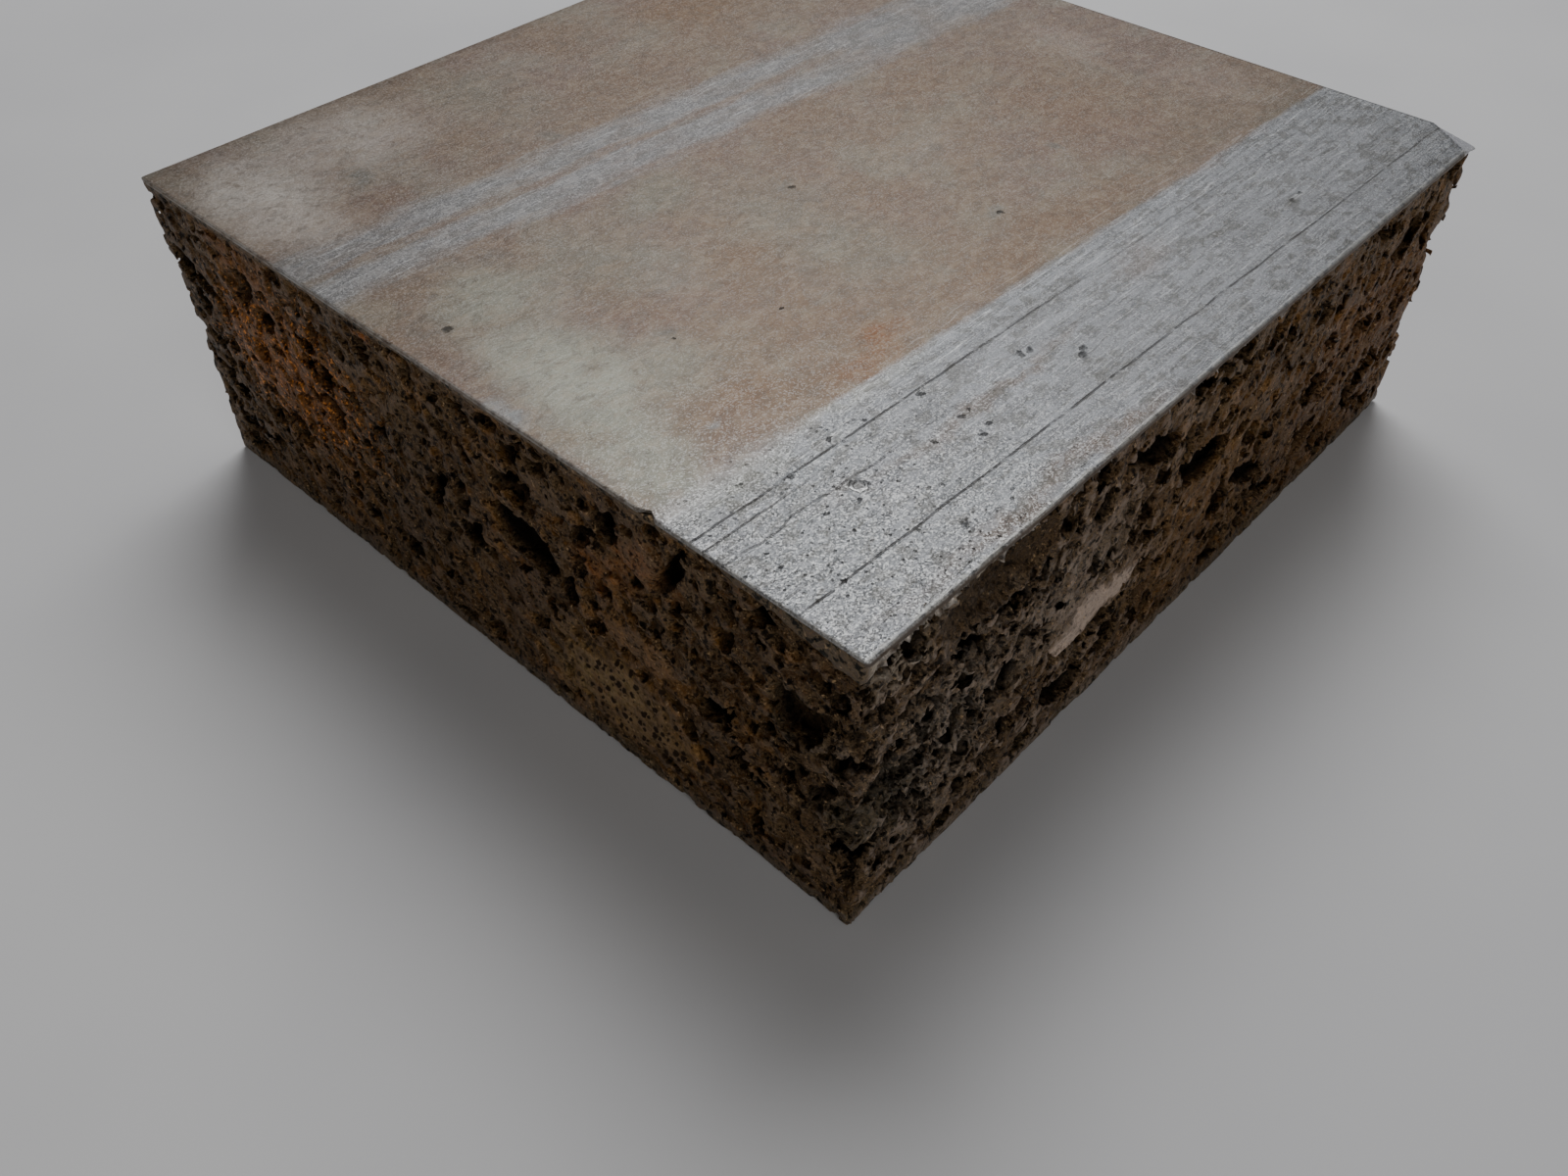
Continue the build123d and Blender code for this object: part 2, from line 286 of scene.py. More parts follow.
def voidFrames():
    frames = []
    deepShare = 0.72
    faces = {"front": frontVoids + frontHollows, "side": sideVoids + lipHollows + sideHollows}
    for face, voids in faces.items():
        for fromNear, below, wide, tall, lean in voids:
            turn = math.radians(lean)
            if face == "front":
                centre = (highX - fromNear, lowY, highZ - below)
                along = (math.cos(turn), 0, math.sin(turn))
                across = (-math.sin(turn), 0, math.cos(turn))
            else:
                centre = (foamX, lowY + fromNear, highZ - below)
                along = (0, math.cos(turn), math.sin(turn))
                across = (0, -math.sin(turn), math.cos(turn))
            deep = deepShare * (wide + tall) / 2
            frames.append((centre, along, across, (wide / 2, tall / 2, deep)))
    for sideX, sideY, up, wide, tall, deep in edgeVoids:
        centre = (foamX if sideX > 0 else lowX, sideY * highY, up)
        along = Vector((-sideY, sideX, 0)).normalized()
        frames.append((centre, tuple(along), (0, 0, 1), (wide / 2, tall / 2, deep)))
    return frames


# One opened cell: distance outside an oval that lies along two directions of the sawn face
def voidGroup():
    inputs = [(label, "NodeSocketVector", None) for label in ("Place", "Centre", "Along", "Across", "Radii")]
    outputs = [("Distance", "NodeSocketFloat")]
    tree, given, result = newTree("openedCell", "GeometryNodeTree", inputs, outputs)
    offset = vectorCalc("SUBTRACT", given["Place"], given["Centre"])
    inward = vectorCalc("CROSS_PRODUCT", given["Along"], given["Across"])
    local = addNode(tree, "ShaderNodeCombineXYZ")
    for axis, direction in enumerate((given["Along"], given["Across"], inward)):
        feed(local.inputs[axis], vectorCalc("DOT_PRODUCT", offset, direction))
    inOval = vectorCalc("DIVIDE", local.outputs[0], given["Radii"])
    a, b, c = [calc("ABSOLUTE", part) for part in splitVector(inOval)]
    sharpness = 2.6      # past 2, the oval has flatter sides, as a cell between its neighbours has
    total = plus(calc("POWER", a, sharpness), calc("POWER", b, sharpness))
    total = plus(total, calc("POWER", c, sharpness))
    reach = calc("POWER", total, 1 / sharpness)
    wide, tall, deep = splitVector(given["Radii"])
    least = smaller(smaller(wide, tall), deep)
    feed(result["Distance"], times(minus(reach, 1.0), least))
    return tree


openedCell = voidGroup()


# Many-sided cells of one size: metal is where the distance comes out above zero
def packedCells(place, size, openShare, wall, hold):
    scale = calc("DIVIDE", 1.0, size)
    pick = splitVector(cellsAt(place, scale)["Color"])
    toEdge = cellsAt(place, scale, feature="DISTANCE_TO_EDGE")["Distance"]
    shut = times(calc("GREATER_THAN", pick[0], openShare), 5.0)
    thickness = timesPlus(pick[1], wall * 1.2, wall * 0.5)
    thickness = plus(thickness, hold)
    inside = minus(thickness, times(toEdge, size))
    return plus(inside, shut)


foamLabels = ("Large cell", "Middle cell", "Small cell", "Crumb size", "Flake size", "Broken away", "Seed")


def foamTree(name, voids):
    inputs = [("Low corner", "NodeSocketVector", None), ("High corner", "NodeSocketVector", None)]
    inputs += [(label, "NodeSocketFloat", 1.0) for label in ("Voxel",) + foamLabels]
    inputs += [("Material", "NodeSocketMaterial", None)]
    tree, given, result = newTree(name, "GeometryNodeTree", inputs, [("Geometry", "NodeSocketGeometry")])

    place = vectorCalc("SCALE", addNode(tree, "GeometryNodeInputPosition").outputs[0], scale=1000.0)
    x, y, z = splitVector(place)
    seedShift = vectorCalc("SCALE", (17.3, 5.9, 9.1), scale=given["Seed"])
    shifted = vectorCalc("ADD", place, seedShift)
    coarseBend = noiseShift(shifted, 0.28, 2.0, 2.6)
    fineBend = noiseShift(shifted, 1.15, 1.0, 1.2)
    bent = vectorCalc("ADD", vectorCalc("ADD", place, coarseBend), fineBend)
    lightlyBent = vectorCalc("ADD", place, vectorCalc("SCALE", coarseBend, scale=0.35))
    lightlyBent = vectorCalc("ADD", lightlyBent, vectorCalc("SCALE", fineBend, scale=0.5))

    # Where the metal ends: sawn sides, the step on one upright edge, the torn corner
    depth = sawnDepth(x, y)
    across, along, up = blockSettings["steppedEdge"]
    norm = math.hypot(across, along)
    stepPlane = timesPlus(x, along / norm, -(lowX + across) * along / norm)
    stepPlane = plus(stepPlane, timesPlus(y, across / norm, -lowY * across / norm))
    step = larger(stepPlane, minus(z, up))
    depth = smaller(depth, step)
    tornX, tornY, tornZ = blockSettings["tornCorner"]
    slope = Vector((1 / tornX, 1 / tornY, 1 / tornZ))
    fromTip = vectorCalc("SUBTRACT", (highX, highY, highZ), place)
    tornPlane = vectorCalc("DOT_PRODUCT", fromTip, tuple(slope))
    tornPlane = calc("DIVIDE", minus(tornPlane, 1.0), slope.length)
    tornPlane = minus(tornPlane, topSettings["tornStep"] + 0.2)     # the skin's break lies on it

    # Zones: calm ones keep their skin, and the near corner is crumbly, most of all on the +X side
    zonePlace = vectorCalc("ADD", place, noiseShift(shifted, 0.2, 1.0, 5.0))
    calm = reduce(larger, [times(spotMask(zonePlace, centre, radii, 0.4), strength)
                           for centre, radii, strength in calmZones])
    crumbly = spotMask(zonePlace, (highX, lowY, 26.0), (30.0, 46.0, 36.0), 0.7)
    openCorner = times(crumbly, smoothStep(x, highX - 9.0, highX - 3.5))
    zone = noiseValue(shifted, 0.05, 1.0)

    # Crumbs: a random tone for each, which makes torn edges ragged
    crumbTone = splitVector(cellsAt(bent, calc("DIVIDE", 1.0, given["Crumb size"]))["Color"])
    ragged = timesPlus(crumbTone[0], 0.5, -0.25)

    # The named cells, a little bent out of their ovals
    opened = []
    for centre, along, across, radii in voids:
        inputs = {"Place": lightlyBent, "Centre": centre, "Along": along, "Across": across, "Radii": radii}
        cell = addNode(tree, "GeometryNodeGroup", inputs, node_tree=openedCell)
        opened.append(cell.outputs["Distance"])
    named = plus(reduce(smaller, opened), ragged)

    # Hold is how much the metal thickens: under the skins, deep inside, in the calm zones and
    # round the named cells
    fromSkin = minus(minus(highZ, skinDepth(x, y)), z)
    toSkins = smaller(fromSkin, minus(z, blockSettings["bottomSkin"]))
    skinHold = smoothStep(toSkins, 1.0, -0.2, 0.0, 2.4)
    deepHold = smoothStep(depth, foamSettings["cellDepth"] - 2.6, foamSettings["cellDepth"], 0.0, 6.0)
    mouthHold = smoothStep(depth, 0.6, 0.0, 0.0, 0.12)
    hold = plus(plus(skinHold, deepHold), mouthHold)
    zoneHold = timesPlus(zone, 2.2, -1.05)
    zoneHold = minus(zoneHold, times(openCorner, 0.35))
    alongX = smaller(minus(x, lowX), minus(foamX, x))
    alongY = smaller(minus(y, lowY), minus(highY, y))
    fromEdge = larger(alongX, alongY)
    edgeHold = smoothStep(fromEdge, 4.0, 1.5, 0.0, 1.3)
    edgeHold = times(edgeHold, minus(1.0, crumbly))
    calmHold = times(calm, 4.0)
    namedHold = smoothStep(named, 1.5, 0.4, 0.0, 2.0)
    cellHold = plus(plus(hold, zoneHold), plus(edgeHold, calmHold))
    smallHold = plus(timesPlus(zoneHold, 0.3, hold), calmHold)
    cellHold = plus(cellHold, namedHold)

    largeShare = timesPlus(openCorner, -0.13, 0.14)
    large = packedCells(bent, given["Large cell"], largeShare, 0.60, cellHold)
    middlePlace = vectorCalc("ADD", bent, (31.0, 47.0, 11.0))
    middleShare = timesPlus(openCorner, 0.06, 0.26)
    middle = packedCells(middlePlace, given["Middle cell"], middleShare, 0.36, cellHold)
    cells = calc("SMOOTH_MIN", large, middle, 0.15)
    smallPlace = vectorCalc("ADD", bent, (77.0, 5.0, 60.0))
    smallShare = timesPlus(crumbly, 0.24, 0.30)
    smallShare = timesPlus(openCorner, 0.12, smallShare)
    small = packedCells(smallPlace, given["Small cell"], smallShare, 0.24, smallHold)
    cells = calc("SMOOTH_MIN", cells, small, 0.10)
    cells = calc("SMOOTH_MIN", cells, plus(named, hold), 0.15)

    for centre, radii in smoothHollows:
        offset = vectorCalc("SUBTRACT", place, centre)
        reach = vectorCalc("LENGTH", vectorCalc("DIVIDE", offset, radii))
        hollow = times(minus(reach, 1.0), min(radii))
        hollow = timesPlus(noiseValue(shifted, 0.6, 3.0), 1.6, minus(hollow, 0.8))
        cells = smaller(cells, hollow)

    # The saw tears the metal out in flat tilted flakes and in crumbs, but cuts the dense skin clean
    flake = cellsAt(lightlyBent, calc("DIVIDE", 1.0, given["Flake size"]))
    tilt = vectorCalc("SUBTRACT", flake["Color"], (0.5, 0.5, 0.5))
    fromMiddle = vectorCalc("SUBTRACT", lightlyBent, flake["Position"])
    facet = times(vectorCalc("DOT_PRODUCT", fromMiddle, tilt), 0.85)
    flakes = plus(facet, times(splitVector(flake["Color"])[1], 0.75))
    flakes = larger(flakes, 0.0)
    crumbs = calc("POWER", crumbTone[1], 2.0)
    crumbs = times(crumbs, timesPlus(crumbly, 0.75, 0.40))
    broken = times(plus(flakes, crumbs), given["Broken away"])
    broken = times(broken, timesPlus(calm, -0.85, 1.0))
    broken = times(broken, smoothStep(z, 0.5, 3.0, 0.35, 1.0))
    broken = times(broken, smoothStep(x, lowX + 1.0, lowX + 9.0, 0.45, 1.0))
    broken = times(broken, smoothStep(fromSkin, -0.3, 0.5, 0.10, 1.0))

    # A seam opens here and there where the thick skin at the near corner meets the foam
    seamNoise = noiseValue(shifted, 0.40, 3.0)
    seam = timesPlus(seamNoise, 1.6, minus(fromSkin, 0.8))
    seamWidth = smoothStep(noiseValue(shifted, 0.27, 2.0), 0.34, 0.52, -0.02, 0.42)
    seamEnd = larger(minus(depth, 1.6), minus(highX - 24.0, x))
    seam = larger(minus(calc("ABSOLUTE", seam), seamWidth), seamEnd)
    seam = larger(seam, minus(y, lowY + 3.0))
    cells = calc("SMOOTH_MIN", cells, seam, 0.1)

    # The slab's own box, and everything together
    toLow = splitVector(vectorCalc("SUBTRACT", place, given["Low corner"]))
    toHigh = splitVector(vectorCalc("SUBTRACT", given["High corner"], place))
    solid = smaller(cells, minus(smaller(depth, tornPlane), broken))
    for limit in list(toLow) + list(toHigh):
        solid = smaller(solid, limit)
    ramp = 1.0      # millimetres over which the density runs from empty to full, each side of the surface
    density = smaller(larger(plus(solid, ramp), 0.0), 2 * ramp)

    margin = vectorCalc("SCALE", (1, 1, 1), scale=times(given["Voxel"], 2.5))
    lowest = vectorCalc("SUBTRACT", given["Low corner"], margin)
    highest = vectorCalc("ADD", given["High corner"], margin)
    span = vectorCalc("SUBTRACT", highest, lowest)
    steps = splitVector(vectorCalc("SCALE", span, scale=calc("DIVIDE", 1.0, given["Voxel"])))
    cube = addNode(tree, "GeometryNodeVolumeCube", {
        "Density": density, "Background": 0.0, "Min": vectorCalc("SCALE", lowest, scale=millimetre),
        "Max": vectorCalc("SCALE", highest, scale=millimetre),
        "Resolution X": steps[0], "Resolution Y": steps[1], "Resolution Z": steps[2]})
    shell = addNode(tree, "GeometryNodeVolumeToMesh", {
        "Volume": cube.outputs[0], "Threshold": ramp, "Adaptivity": 0.0})

    # Loose crumbs inside closed cells are taken away: only the largest island stays
    island = addNode(tree, "GeometryNodeInputMeshIsland").outputs["Island Index"]
    count = addNode(tree, "GeometryNodeAccumulateField", {"Value": 1.0, "Group ID": island},
                    data_type="FLOAT", domain="FACE").outputs["Total"]
    most = addNode(tree, "GeometryNodeAttributeStatistic", {
        "Geometry": shell.outputs[0], "Attribute": count}, data_type="FLOAT", domain="FACE").outputs["Max"]
    isSmall = addNode(tree, "FunctionNodeCompare", {"A": count, "B": most}, data_type="FLOAT",
                      operation="LESS_THAN").outputs[0]
    kept = addNode(tree, "GeometryNodeDeleteGeometry", {"Geometry": shell.outputs[0], "Selection": isSmall},
                   domain="FACE", mode="ALL")
    finishTree(tree, kept.outputs[0], given["Material"], result["Geometry"])
    return tree


# What a piece looks like with its modifiers, as a plain mesh
def evaluatedMesh(piece):
    return bpy.data.meshes.new_from_object(piece.evaluated_get(bpy.context.evaluated_depsgraph_get()))


# An object whose mesh is what a Geometry Nodes tree gives for these inputs
def pieceFromTree(name, tree, values):
    maker = bpy.data.objects.new(name + "Maker", bpy.data.meshes.new(name + "Start"))
    bpy.context.scene.collection.objects.link(maker)
    modifier = maker.modifiers.new("nodes", "NODES")
    modifier.node_group = tree
    for item in tree.interface.items_tree:
        if item.in_out == "INPUT" and item.name in values:
            modifier[item.identifier] = values[item.name]
    mesh = evaluatedMesh(maker)
    bpy.data.objects.remove(maker)
    mesh.name = name
    piece = bpy.data.objects.new(name, mesh)
    bpy.context.scene.collection.objects.link(piece)
    return piece


def countTriangles(mesh):
    return sum(len(face.vertices) - 2 for face in mesh.polygons)


def thinPiece(piece, most):
    modifier = piece.modifiers.new("thin", "DECIMATE")
    modifier.ratio = min(1.0, most / countTriangles(piece.data))
    mesh = evaluatedMesh(piece)
    piece.modifiers.remove(modifier)
    piece.data = mesh


def makeFoam(material):
    deep, lap = foamSettings["slabDepth"], foamSettings["slabOverlap"]
    top = highZ - blockSettings["sheetThickness"]
    under = lowZ + 0.05
    reach = highY - deep + lap
    frontEnd, sideEnd = foamSettings["nearEnd"], foamSettings["nearSideEnd"]
    corners = {
        "nearFrontFoam": ((frontEnd, lowY, under), (foamX, lowY + deep, top)),
        "farFrontFoam": ((lowX, lowY, under), (frontEnd + lap, lowY + deep, top)),
        "nearSideFoam": ((foamX - deep, -reach, under), (foamX, sideEnd, top)),
        "farSideFoam": ((foamX - deep, sideEnd - lap, under), (foamX, reach, top)),
        "backFoam": ((lowX, highY - deep, under), (foamX, highY, top)),
        "leftFoam": ((lowX, -reach, under), (lowX + deep, reach, top)),
    }
    made = []
    for name, (low, high) in corners.items():
        voids = [item for item in voidFrames()
                 if all(low[i] - 8 < item[0][i] < high[i] + 8 for i in range(3))]
        values = {label: foamSettings[label] for label in foamLabels}
        values.update({"Low corner": low, "High corner": high, "Voxel": slabSettings[name]["voxel"],
                       "Material": material})
        piece = pieceFromTree(name, foamTree(name + "Tree", voids), values)
        before = countTriangles(piece.data)
        thinPiece(piece, slabSettings[name]["triangles"])
        piece.data.set_sharp_from_angle(angle=math.radians(foamSettings["sharpAngle"]))
        print(name, before, "triangles thinned to", countTriangles(piece.data))
        made.append(piece)
    return made


# A closed sheet between two grids of points, given in millimetres
def closedSheet(name, outer, inner, material, sharpAngle):
    rows, columns = outer.shape[:2]
    outerIndex = np.arange(rows * columns).reshape(rows, columns)
    innerIndex = outerIndex + rows * columns
    faces = []
    for j in range(rows - 1):
        for i in range(columns - 1):
            corners = [(j, i), (j, i + 1), (j + 1, i + 1), (j + 1, i)]
            faces.append([outerIndex[at] for at in corners])
            faces.append([innerIndex[at] for at in reversed(corners)])
    border = [(0, i) for i in range(columns)] + [(j, columns - 1) for j in range(1, rows)]
    border += [(rows - 1, i) for i in range(columns - 2, -1, -1)] + [(j, 0) for j in range(rows - 2, 0, -1)]
    for here, there in zip(border, border[1:] + border[:1]):
        faces.append([innerIndex[here], innerIndex[there], outerIndex[there], outerIndex[here]])
    points = np.concatenate([outer.reshape(-1, 3), inner.reshape(-1, 3)]) * millimetre
    mesh = bpy.data.meshes.new(name)
    mesh.from_pydata(points.tolist(), [], faces)
    mesh.update()
    mesh.materials.append(material)
    mesh.shade_smooth()
    mesh.set_sharp_from_angle(angle=math.radians(sharpAngle))
    piece = bpy.data.objects.new(name, mesh)
    bpy.context.scene.collection.objects.link(piece)
    print(name, countTriangles(mesh), "triangles")
    return piece


# The top skin: one sheet with its mould lines, bent over into the lip at +X
topSettings = {
    "step": 1.5,
    "fineStep": 0.5,
    "unevenness": 0.09,
    "lipRadius": 0.6,
    "lipDepth": 0.95,
    "lipFallWidth": 4.6,       # the face slopes down a little this far before the lip
    "lipFall": 0.22,
    "tornStep": 0.3,           # the break starts with a small step
    "notchX": 38.5,
    "notchWidth": 1.8,
    "notchDepth": 1.0,
    "corners": [(1, -1, 0.9), (1, 1, 1.3), (-1, -1, 0.6), (-1, 1, 0.6)],   # sides in X and Y, radius
}


# How far inside the break at the far corner a place is: 0 at the tip, 1 where the top is whole
def tornShare(x, y):
    tornX, tornY, _ = blockSettings["tornCorner"]
    return (highX - x) / tornX + (highY - y) / tornY


# Evenly spaced places, closer together past the turn
def spread(start, turn, end):
    step, fine = topSettings["step"], topSettings["fineStep"]
    return np.concatenate([np.linspace(start, turn, round((turn - start) / step), endpoint=False),
                           np.linspace(turn, end, round((end - turn) / fine) + 1)])


def skinRow(y, endRow):
    radius, sheet = topSettings["lipRadius"], blockSettings["sheetThickness"]
    outerRow, innerRow = [], []
    for x in spread(lowX, highX - 9.0, highX - radius):
        swell = 0.5 + 0.5 * noise.noise(Vector((x * 0.05, y * 0.03, 3.0)))
        ripple = 0.5 + 0.5 * noise.noise(Vector((x * 0.35, y * 0.12, 9.0)))
        z = highZ - topSettings["unevenness"] * (0.7 * swell + 0.3 * ripple)
        if endRow:
            z -= 0.12 * (0.6 + 0.8 * ripple)
        if x < lowX + 0.01:
            z -= 0.10
        fall = max(0.0, 1 - (highX - radius - x) / topSettings["lipFallWidth"])
        z -= topSettings["lipFall"] * fall ** 2
        outerRow.append((x, y, z))
        innerRow.append((x, y, highZ - sheet - 0.08))
    # The lip: over the edge, down, and back under where it was torn from the foam
    rag = 0.45 * noise.noise(Vector((y * 0.30, 1.0, 2.0))) + 0.35 * noise.noise(Vector((y * 0.9, 6.0, 2.0)))
    nearCorner = max(0.0, 1 - (y - lowY) / 26.0)
    down = topSettings["lipFall"] + 0.02
    low = highZ - topSettings["lipDepth"] + rag * (0.5 + nearCorner) - 0.15 * nearCorner
    low = min(low, highZ - radius - down - 0.05)
    for k in range(1, 6):
        turn = math.radians(18 * k)
        out, up = radius * math.sin(turn), radius * math.cos(turn)
        outerRow.append((highX - radius + out, y, highZ - radius + up - down))
        innerRow.append((highX - radius + 0.35 * out, y, highZ - radius + 0.30 * up - down))
    for outerX, innerX, drop in ((0.0, 0.40, 0.0), (0.08, 0.42, -0.14), (0.24, 0.42, -0.22)):
        outerRow.append((highX - outerX, y, low + drop))
        innerRow.append((highX - innerX, y, low + drop + 0.04))
    return outerRow, innerRow


# The nick in the sawn edge, the rounded corners and the broken one
def trimSheet(points, allowance):
    x, y, z = points[..., 0], points[..., 1], points[..., 2]
    nick = np.clip(1 - np.abs(x - topSettings["notchX"]) / (topSettings["notchWidth"] / 2), 0, 1)
    nick *= topSettings["notchDepth"]
    y[:] = np.where(y < lowY + nick, lowY + nick + 0.15 * (y - lowY), y)
    for sideX, sideY, radius in topSettings["corners"]:
        centreX, centreY = sideX * (highX - radius), sideY * (highY - radius)
        away = np.hypot(x - centreX, y - centreY)
        outside = ((x - centreX) * sideX > 0) & ((y - centreY) * sideY > 0) & (away > radius)
        pull = np.where(outside, radius / np.maximum(away, 1e-6), 1.0)
        x[:] = centreX + (x - centreX) * pull
        y[:] = centreY + (y - centreY) * pull
    inward = 1 - tornShare(x, y)
    drop = blockSettings["tornCorner"][2] * inward + topSettings["tornStep"] * np.clip(inward * 12, 0, 1)
    z[:] = np.where(inward > 0, np.minimum(z, highZ - drop - allowance), z)


def makeTopSkin(material):
    rows = np.concatenate([[lowY, lowY + 0.14, lowY + 0.5], spread(lowY + 1.0, highY - 7.0, highY - 0.5),
                           [highY - 0.14, highY]])
    made = [skinRow(y, row in (0, len(rows) - 1)) for row, y in enumerate(rows)]
    outer, inner = np.array([pair[0] for pair in made]), np.array([pair[1] for pair in made])
    outer[..., 2] += highZ - outer[..., 2].max()
    trimSheet(outer, 0.0)
    trimSheet(inner, blockSettings["sheetThickness"])
    return closedSheet("topSkin", outer, inner, material, 50)


# The bottom skin: a plain cast sheet inside the foam slabs' lower edges
bottomSettings = {"step": 2.0, "thickness": 1.1, "inset": 0.5, "unevenness": 0.10}


def makeBottomSkin(material):
    inset, thickness = bottomSettings["inset"], bottomSettings["thickness"]
    xs = np.linspace(lowX + inset, foamX - inset, int((foamX - lowX) / bottomSettings["step"]))
    ys = np.linspace(lowY + inset, highY - inset, int((highY - lowY) / bottomSettings["step"]))
    across, along, _ = blockSettings["steppedEdge"]
    points = np.zeros((2, len(ys), len(xs), 3))
    for level, j, i in np.ndindex(2, len(ys), len(xs)):
        x, y = xs[i], ys[j]
        cut = lowX + inset + across * max(0.0, 1 - (y - lowY) / along)
        swell = 0.5 + 0.5 * noise.noise(Vector((x * 0.08, y * 0.05, 21.0)))
        inside = 0 < i < len(xs) - 1 and 0 < j < len(ys) - 1
        z = thickness if level else (bottomSettings["unevenness"] * swell if inside else 0.25)
        if not level and i % 24 == 4 and j % 24 == 4:
            z = 0.0      # the few places that the block stands on
        points[level, j, i] = (max(x, cut), y, lowZ + z)
    return closedSheet("bottomSkin", points[1], points[0], material, 40)


# Thin shreds of skin that hang under the lip, thickest near the corner
shredSettings = {
    "Count": 80,
    "Length": 2.8,
    "Drop": 2.1,
    "Thickness": 0.10,
    "Curl": 0.6,
    "Crowding": 2.2,      # past 1, more of them gather near the corner
    "Seed": 5,
}


def randomVector(tree, low, high, seed):
    inputs = {"Min": low, "Max": high, "Seed": seed}
    return addNode(tree, "FunctionNodeRandomValue", inputs, data_type="FLOAT_VECTOR").outputs["Value"]


def shredTree():
    inputs = [("Start", "NodeSocketVector", None), ("End", "NodeSocketVector", None)]
    for label in ("Length", "Drop", "Thickness", "Curl", "Crowding"):
        inputs.append((label, "NodeSocketFloat", 1.0))
    inputs += [("Count", "NodeSocketInt", 10), ("Seed", "NodeSocketInt", 0)]
    inputs.append(("Material", "NodeSocketMaterial", None))
    outputs = [("Geometry", "NodeSocketGeometry")]
    tree, given, result = newTree("lipShredsTree", "GeometryNodeTree", inputs, outputs)

    # One shred: a small grid stood upright, curled, made ragged and given its thickness
    length = times(given["Length"], millimetre)
    drop = times(given["Drop"], millimetre)
    grid = addNode(tree, "GeometryNodeMeshGrid", {
        "Size X": length, "Size Y": drop, "Vertices X": 7, "Vertices Y": 4})
    position = addNode(tree, "GeometryNodeInputPosition").outputs[0]
    u, v, _ = splitVector(position)
    bend = times(times(u, u), calc("DIVIDE", given["Curl"], length))
    stood = addNode(tree, "ShaderNodeCombineXYZ", {"X": bend, "Y": u, "Z": v})
    rag = noiseShift(position, 900.0, 1.0, 0.0006)
    bent = addNode(tree, "GeometryNodeSetPosition", {"Geometry": grid.outputs["Mesh"],
                   "Position": vectorCalc("ADD", stood.outputs[0], rag)})
    thick = addNode(tree, "GeometryNodeExtrudeMesh", {"Mesh": bent.outputs[0], "Individual": False,
                    "Offset Scale": times(given["Thickness"], millimetre)})
    back = addNode(tree, "GeometryNodeFlipFaces", {"Mesh": bent.outputs[0]})
    both = addNode(tree, "GeometryNodeJoinGeometry")
    tree.links.new(thick.outputs["Mesh"], both.inputs[0])
    tree.links.new(back.outputs[0], both.inputs[0])
    shred = addNode(tree, "GeometryNodeMergeByDistance", {"Geometry": both.outputs[0], "Distance": 0.00001})

    # Their places along the lip's torn edge
    line = addNode(tree, "GeometryNodeMeshLine", {"Count": given["Count"]})
    index = addNode(tree, "GeometryNodeInputIndex").outputs[0]
    share = calc("POWER", calc("DIVIDE", index, given["Count"]), given["Crowding"])
    run = vectorCalc("SUBTRACT", given["End"], given["Start"])
    along = vectorCalc("ADD", given["Start"], vectorCalc("SCALE", run, scale=share))
    stray = randomVector(tree, (-0.7, -1.0, -0.9), (0.1, 1.0, 0.35), given["Seed"])
    spot = vectorCalc("SCALE", vectorCalc("ADD", along, stray), scale=millimetre)
    places = addNode(tree, "GeometryNodeSetPosition", {"Geometry": line.outputs[0], "Position": spot})
    turn = randomVector(tree, (-0.7, -0.9, -0.35), (0.7, 0.25, 0.35), plus(given["Seed"], 1))
    size = randomVector(tree, (0.4, 0.4, 0.35), (1.1, 1.1, 1.2), plus(given["Seed"], 2))
    copies = addNode(tree, "GeometryNodeInstanceOnPoints", {
        "Points": places.outputs[0], "Instance": shred.outputs[0], "Rotation": turn, "Scale": size})
    finishTree(tree, copies.outputs[0], given["Material"], result["Geometry"])
    return tree


def makeShreds(material):
    values = dict(shredSettings, Material=material)
    values["Start"] = (highX - 1.2, lowY + 2.6, highZ - 2.0)
    values["End"] = (highX - 1.2, lowY + 90.0, highZ - 1.7)
    piece = pieceFromTree("lipShreds", shredTree(), values)
    print("lipShreds", countTriangles(piece.data), "triangles")
    return piece


# Paint: colours are given as they show on a screen, 0 to 255
def paint(red, green, blue):
    def linear(value):
        value /= 255
        return value / 12.92 if value <= 0.04045 else ((value + 0.055) / 1.055) ** 2.4
    return (linear(red), linear(green), linear(blue), 1.0)


def mixPaint(factor, first, second):
    node = addNode(treeOf(factor, first, second), "ShaderNodeMix", data_type="RGBA", clamp_factor=True)
    for index, value in ((0, factor), (6, first), (7, second)):
        feed(node.inputs[index], value)
    return node.outputs[2]


# Object coordinates in millimetres
def metalPlace(tree):
    coordinates = addNode(tree, "ShaderNodeTexCoord").outputs["Object"]
    inputs = {"Vector": coordinates, "Scale": (1000.0, 1000.0, 1000.0)}
    return addNode(tree, "ShaderNodeMapping", inputs).outputs[0]


# Fine grain that both finishes share: a height, and light and dark specks
def grainGroup():
    inputs = [("Place", "NodeSocketVector", None), ("Size", "NodeSocketFloat", 0.3)]
    inputs += [("Contrast", "NodeSocketFloat", 1.0)]
    outputs = [(label, "NodeSocketFloat") for label in ("Height", "Light", "Dark")]
    tree, given, result = newTree("metalGrain", "ShaderNodeTree", inputs, outputs)
    scale = calc("DIVIDE", 1.0, given["Size"])
    coarse = noiseValue(given["Place"], scale, 3.0, 0.62)
    tone = splitVector(cellsAt(given["Place"], times(scale, 0.8))["Color"])[0]
    mixed = timesPlus(minus(tone, 0.5), 0.35, coarse)
    feed(result["Height"], times(minus(mixed, 0.5), given["Contrast"]))
    feed(result["Light"], times(smoothStep(mixed, 0.52, 0.68), given["Contrast"]))
    feed(result["Dark"], times(smoothStep(mixed, 0.46, 0.31), given["Contrast"]))
    return tree


metalGrain = grainGroup()


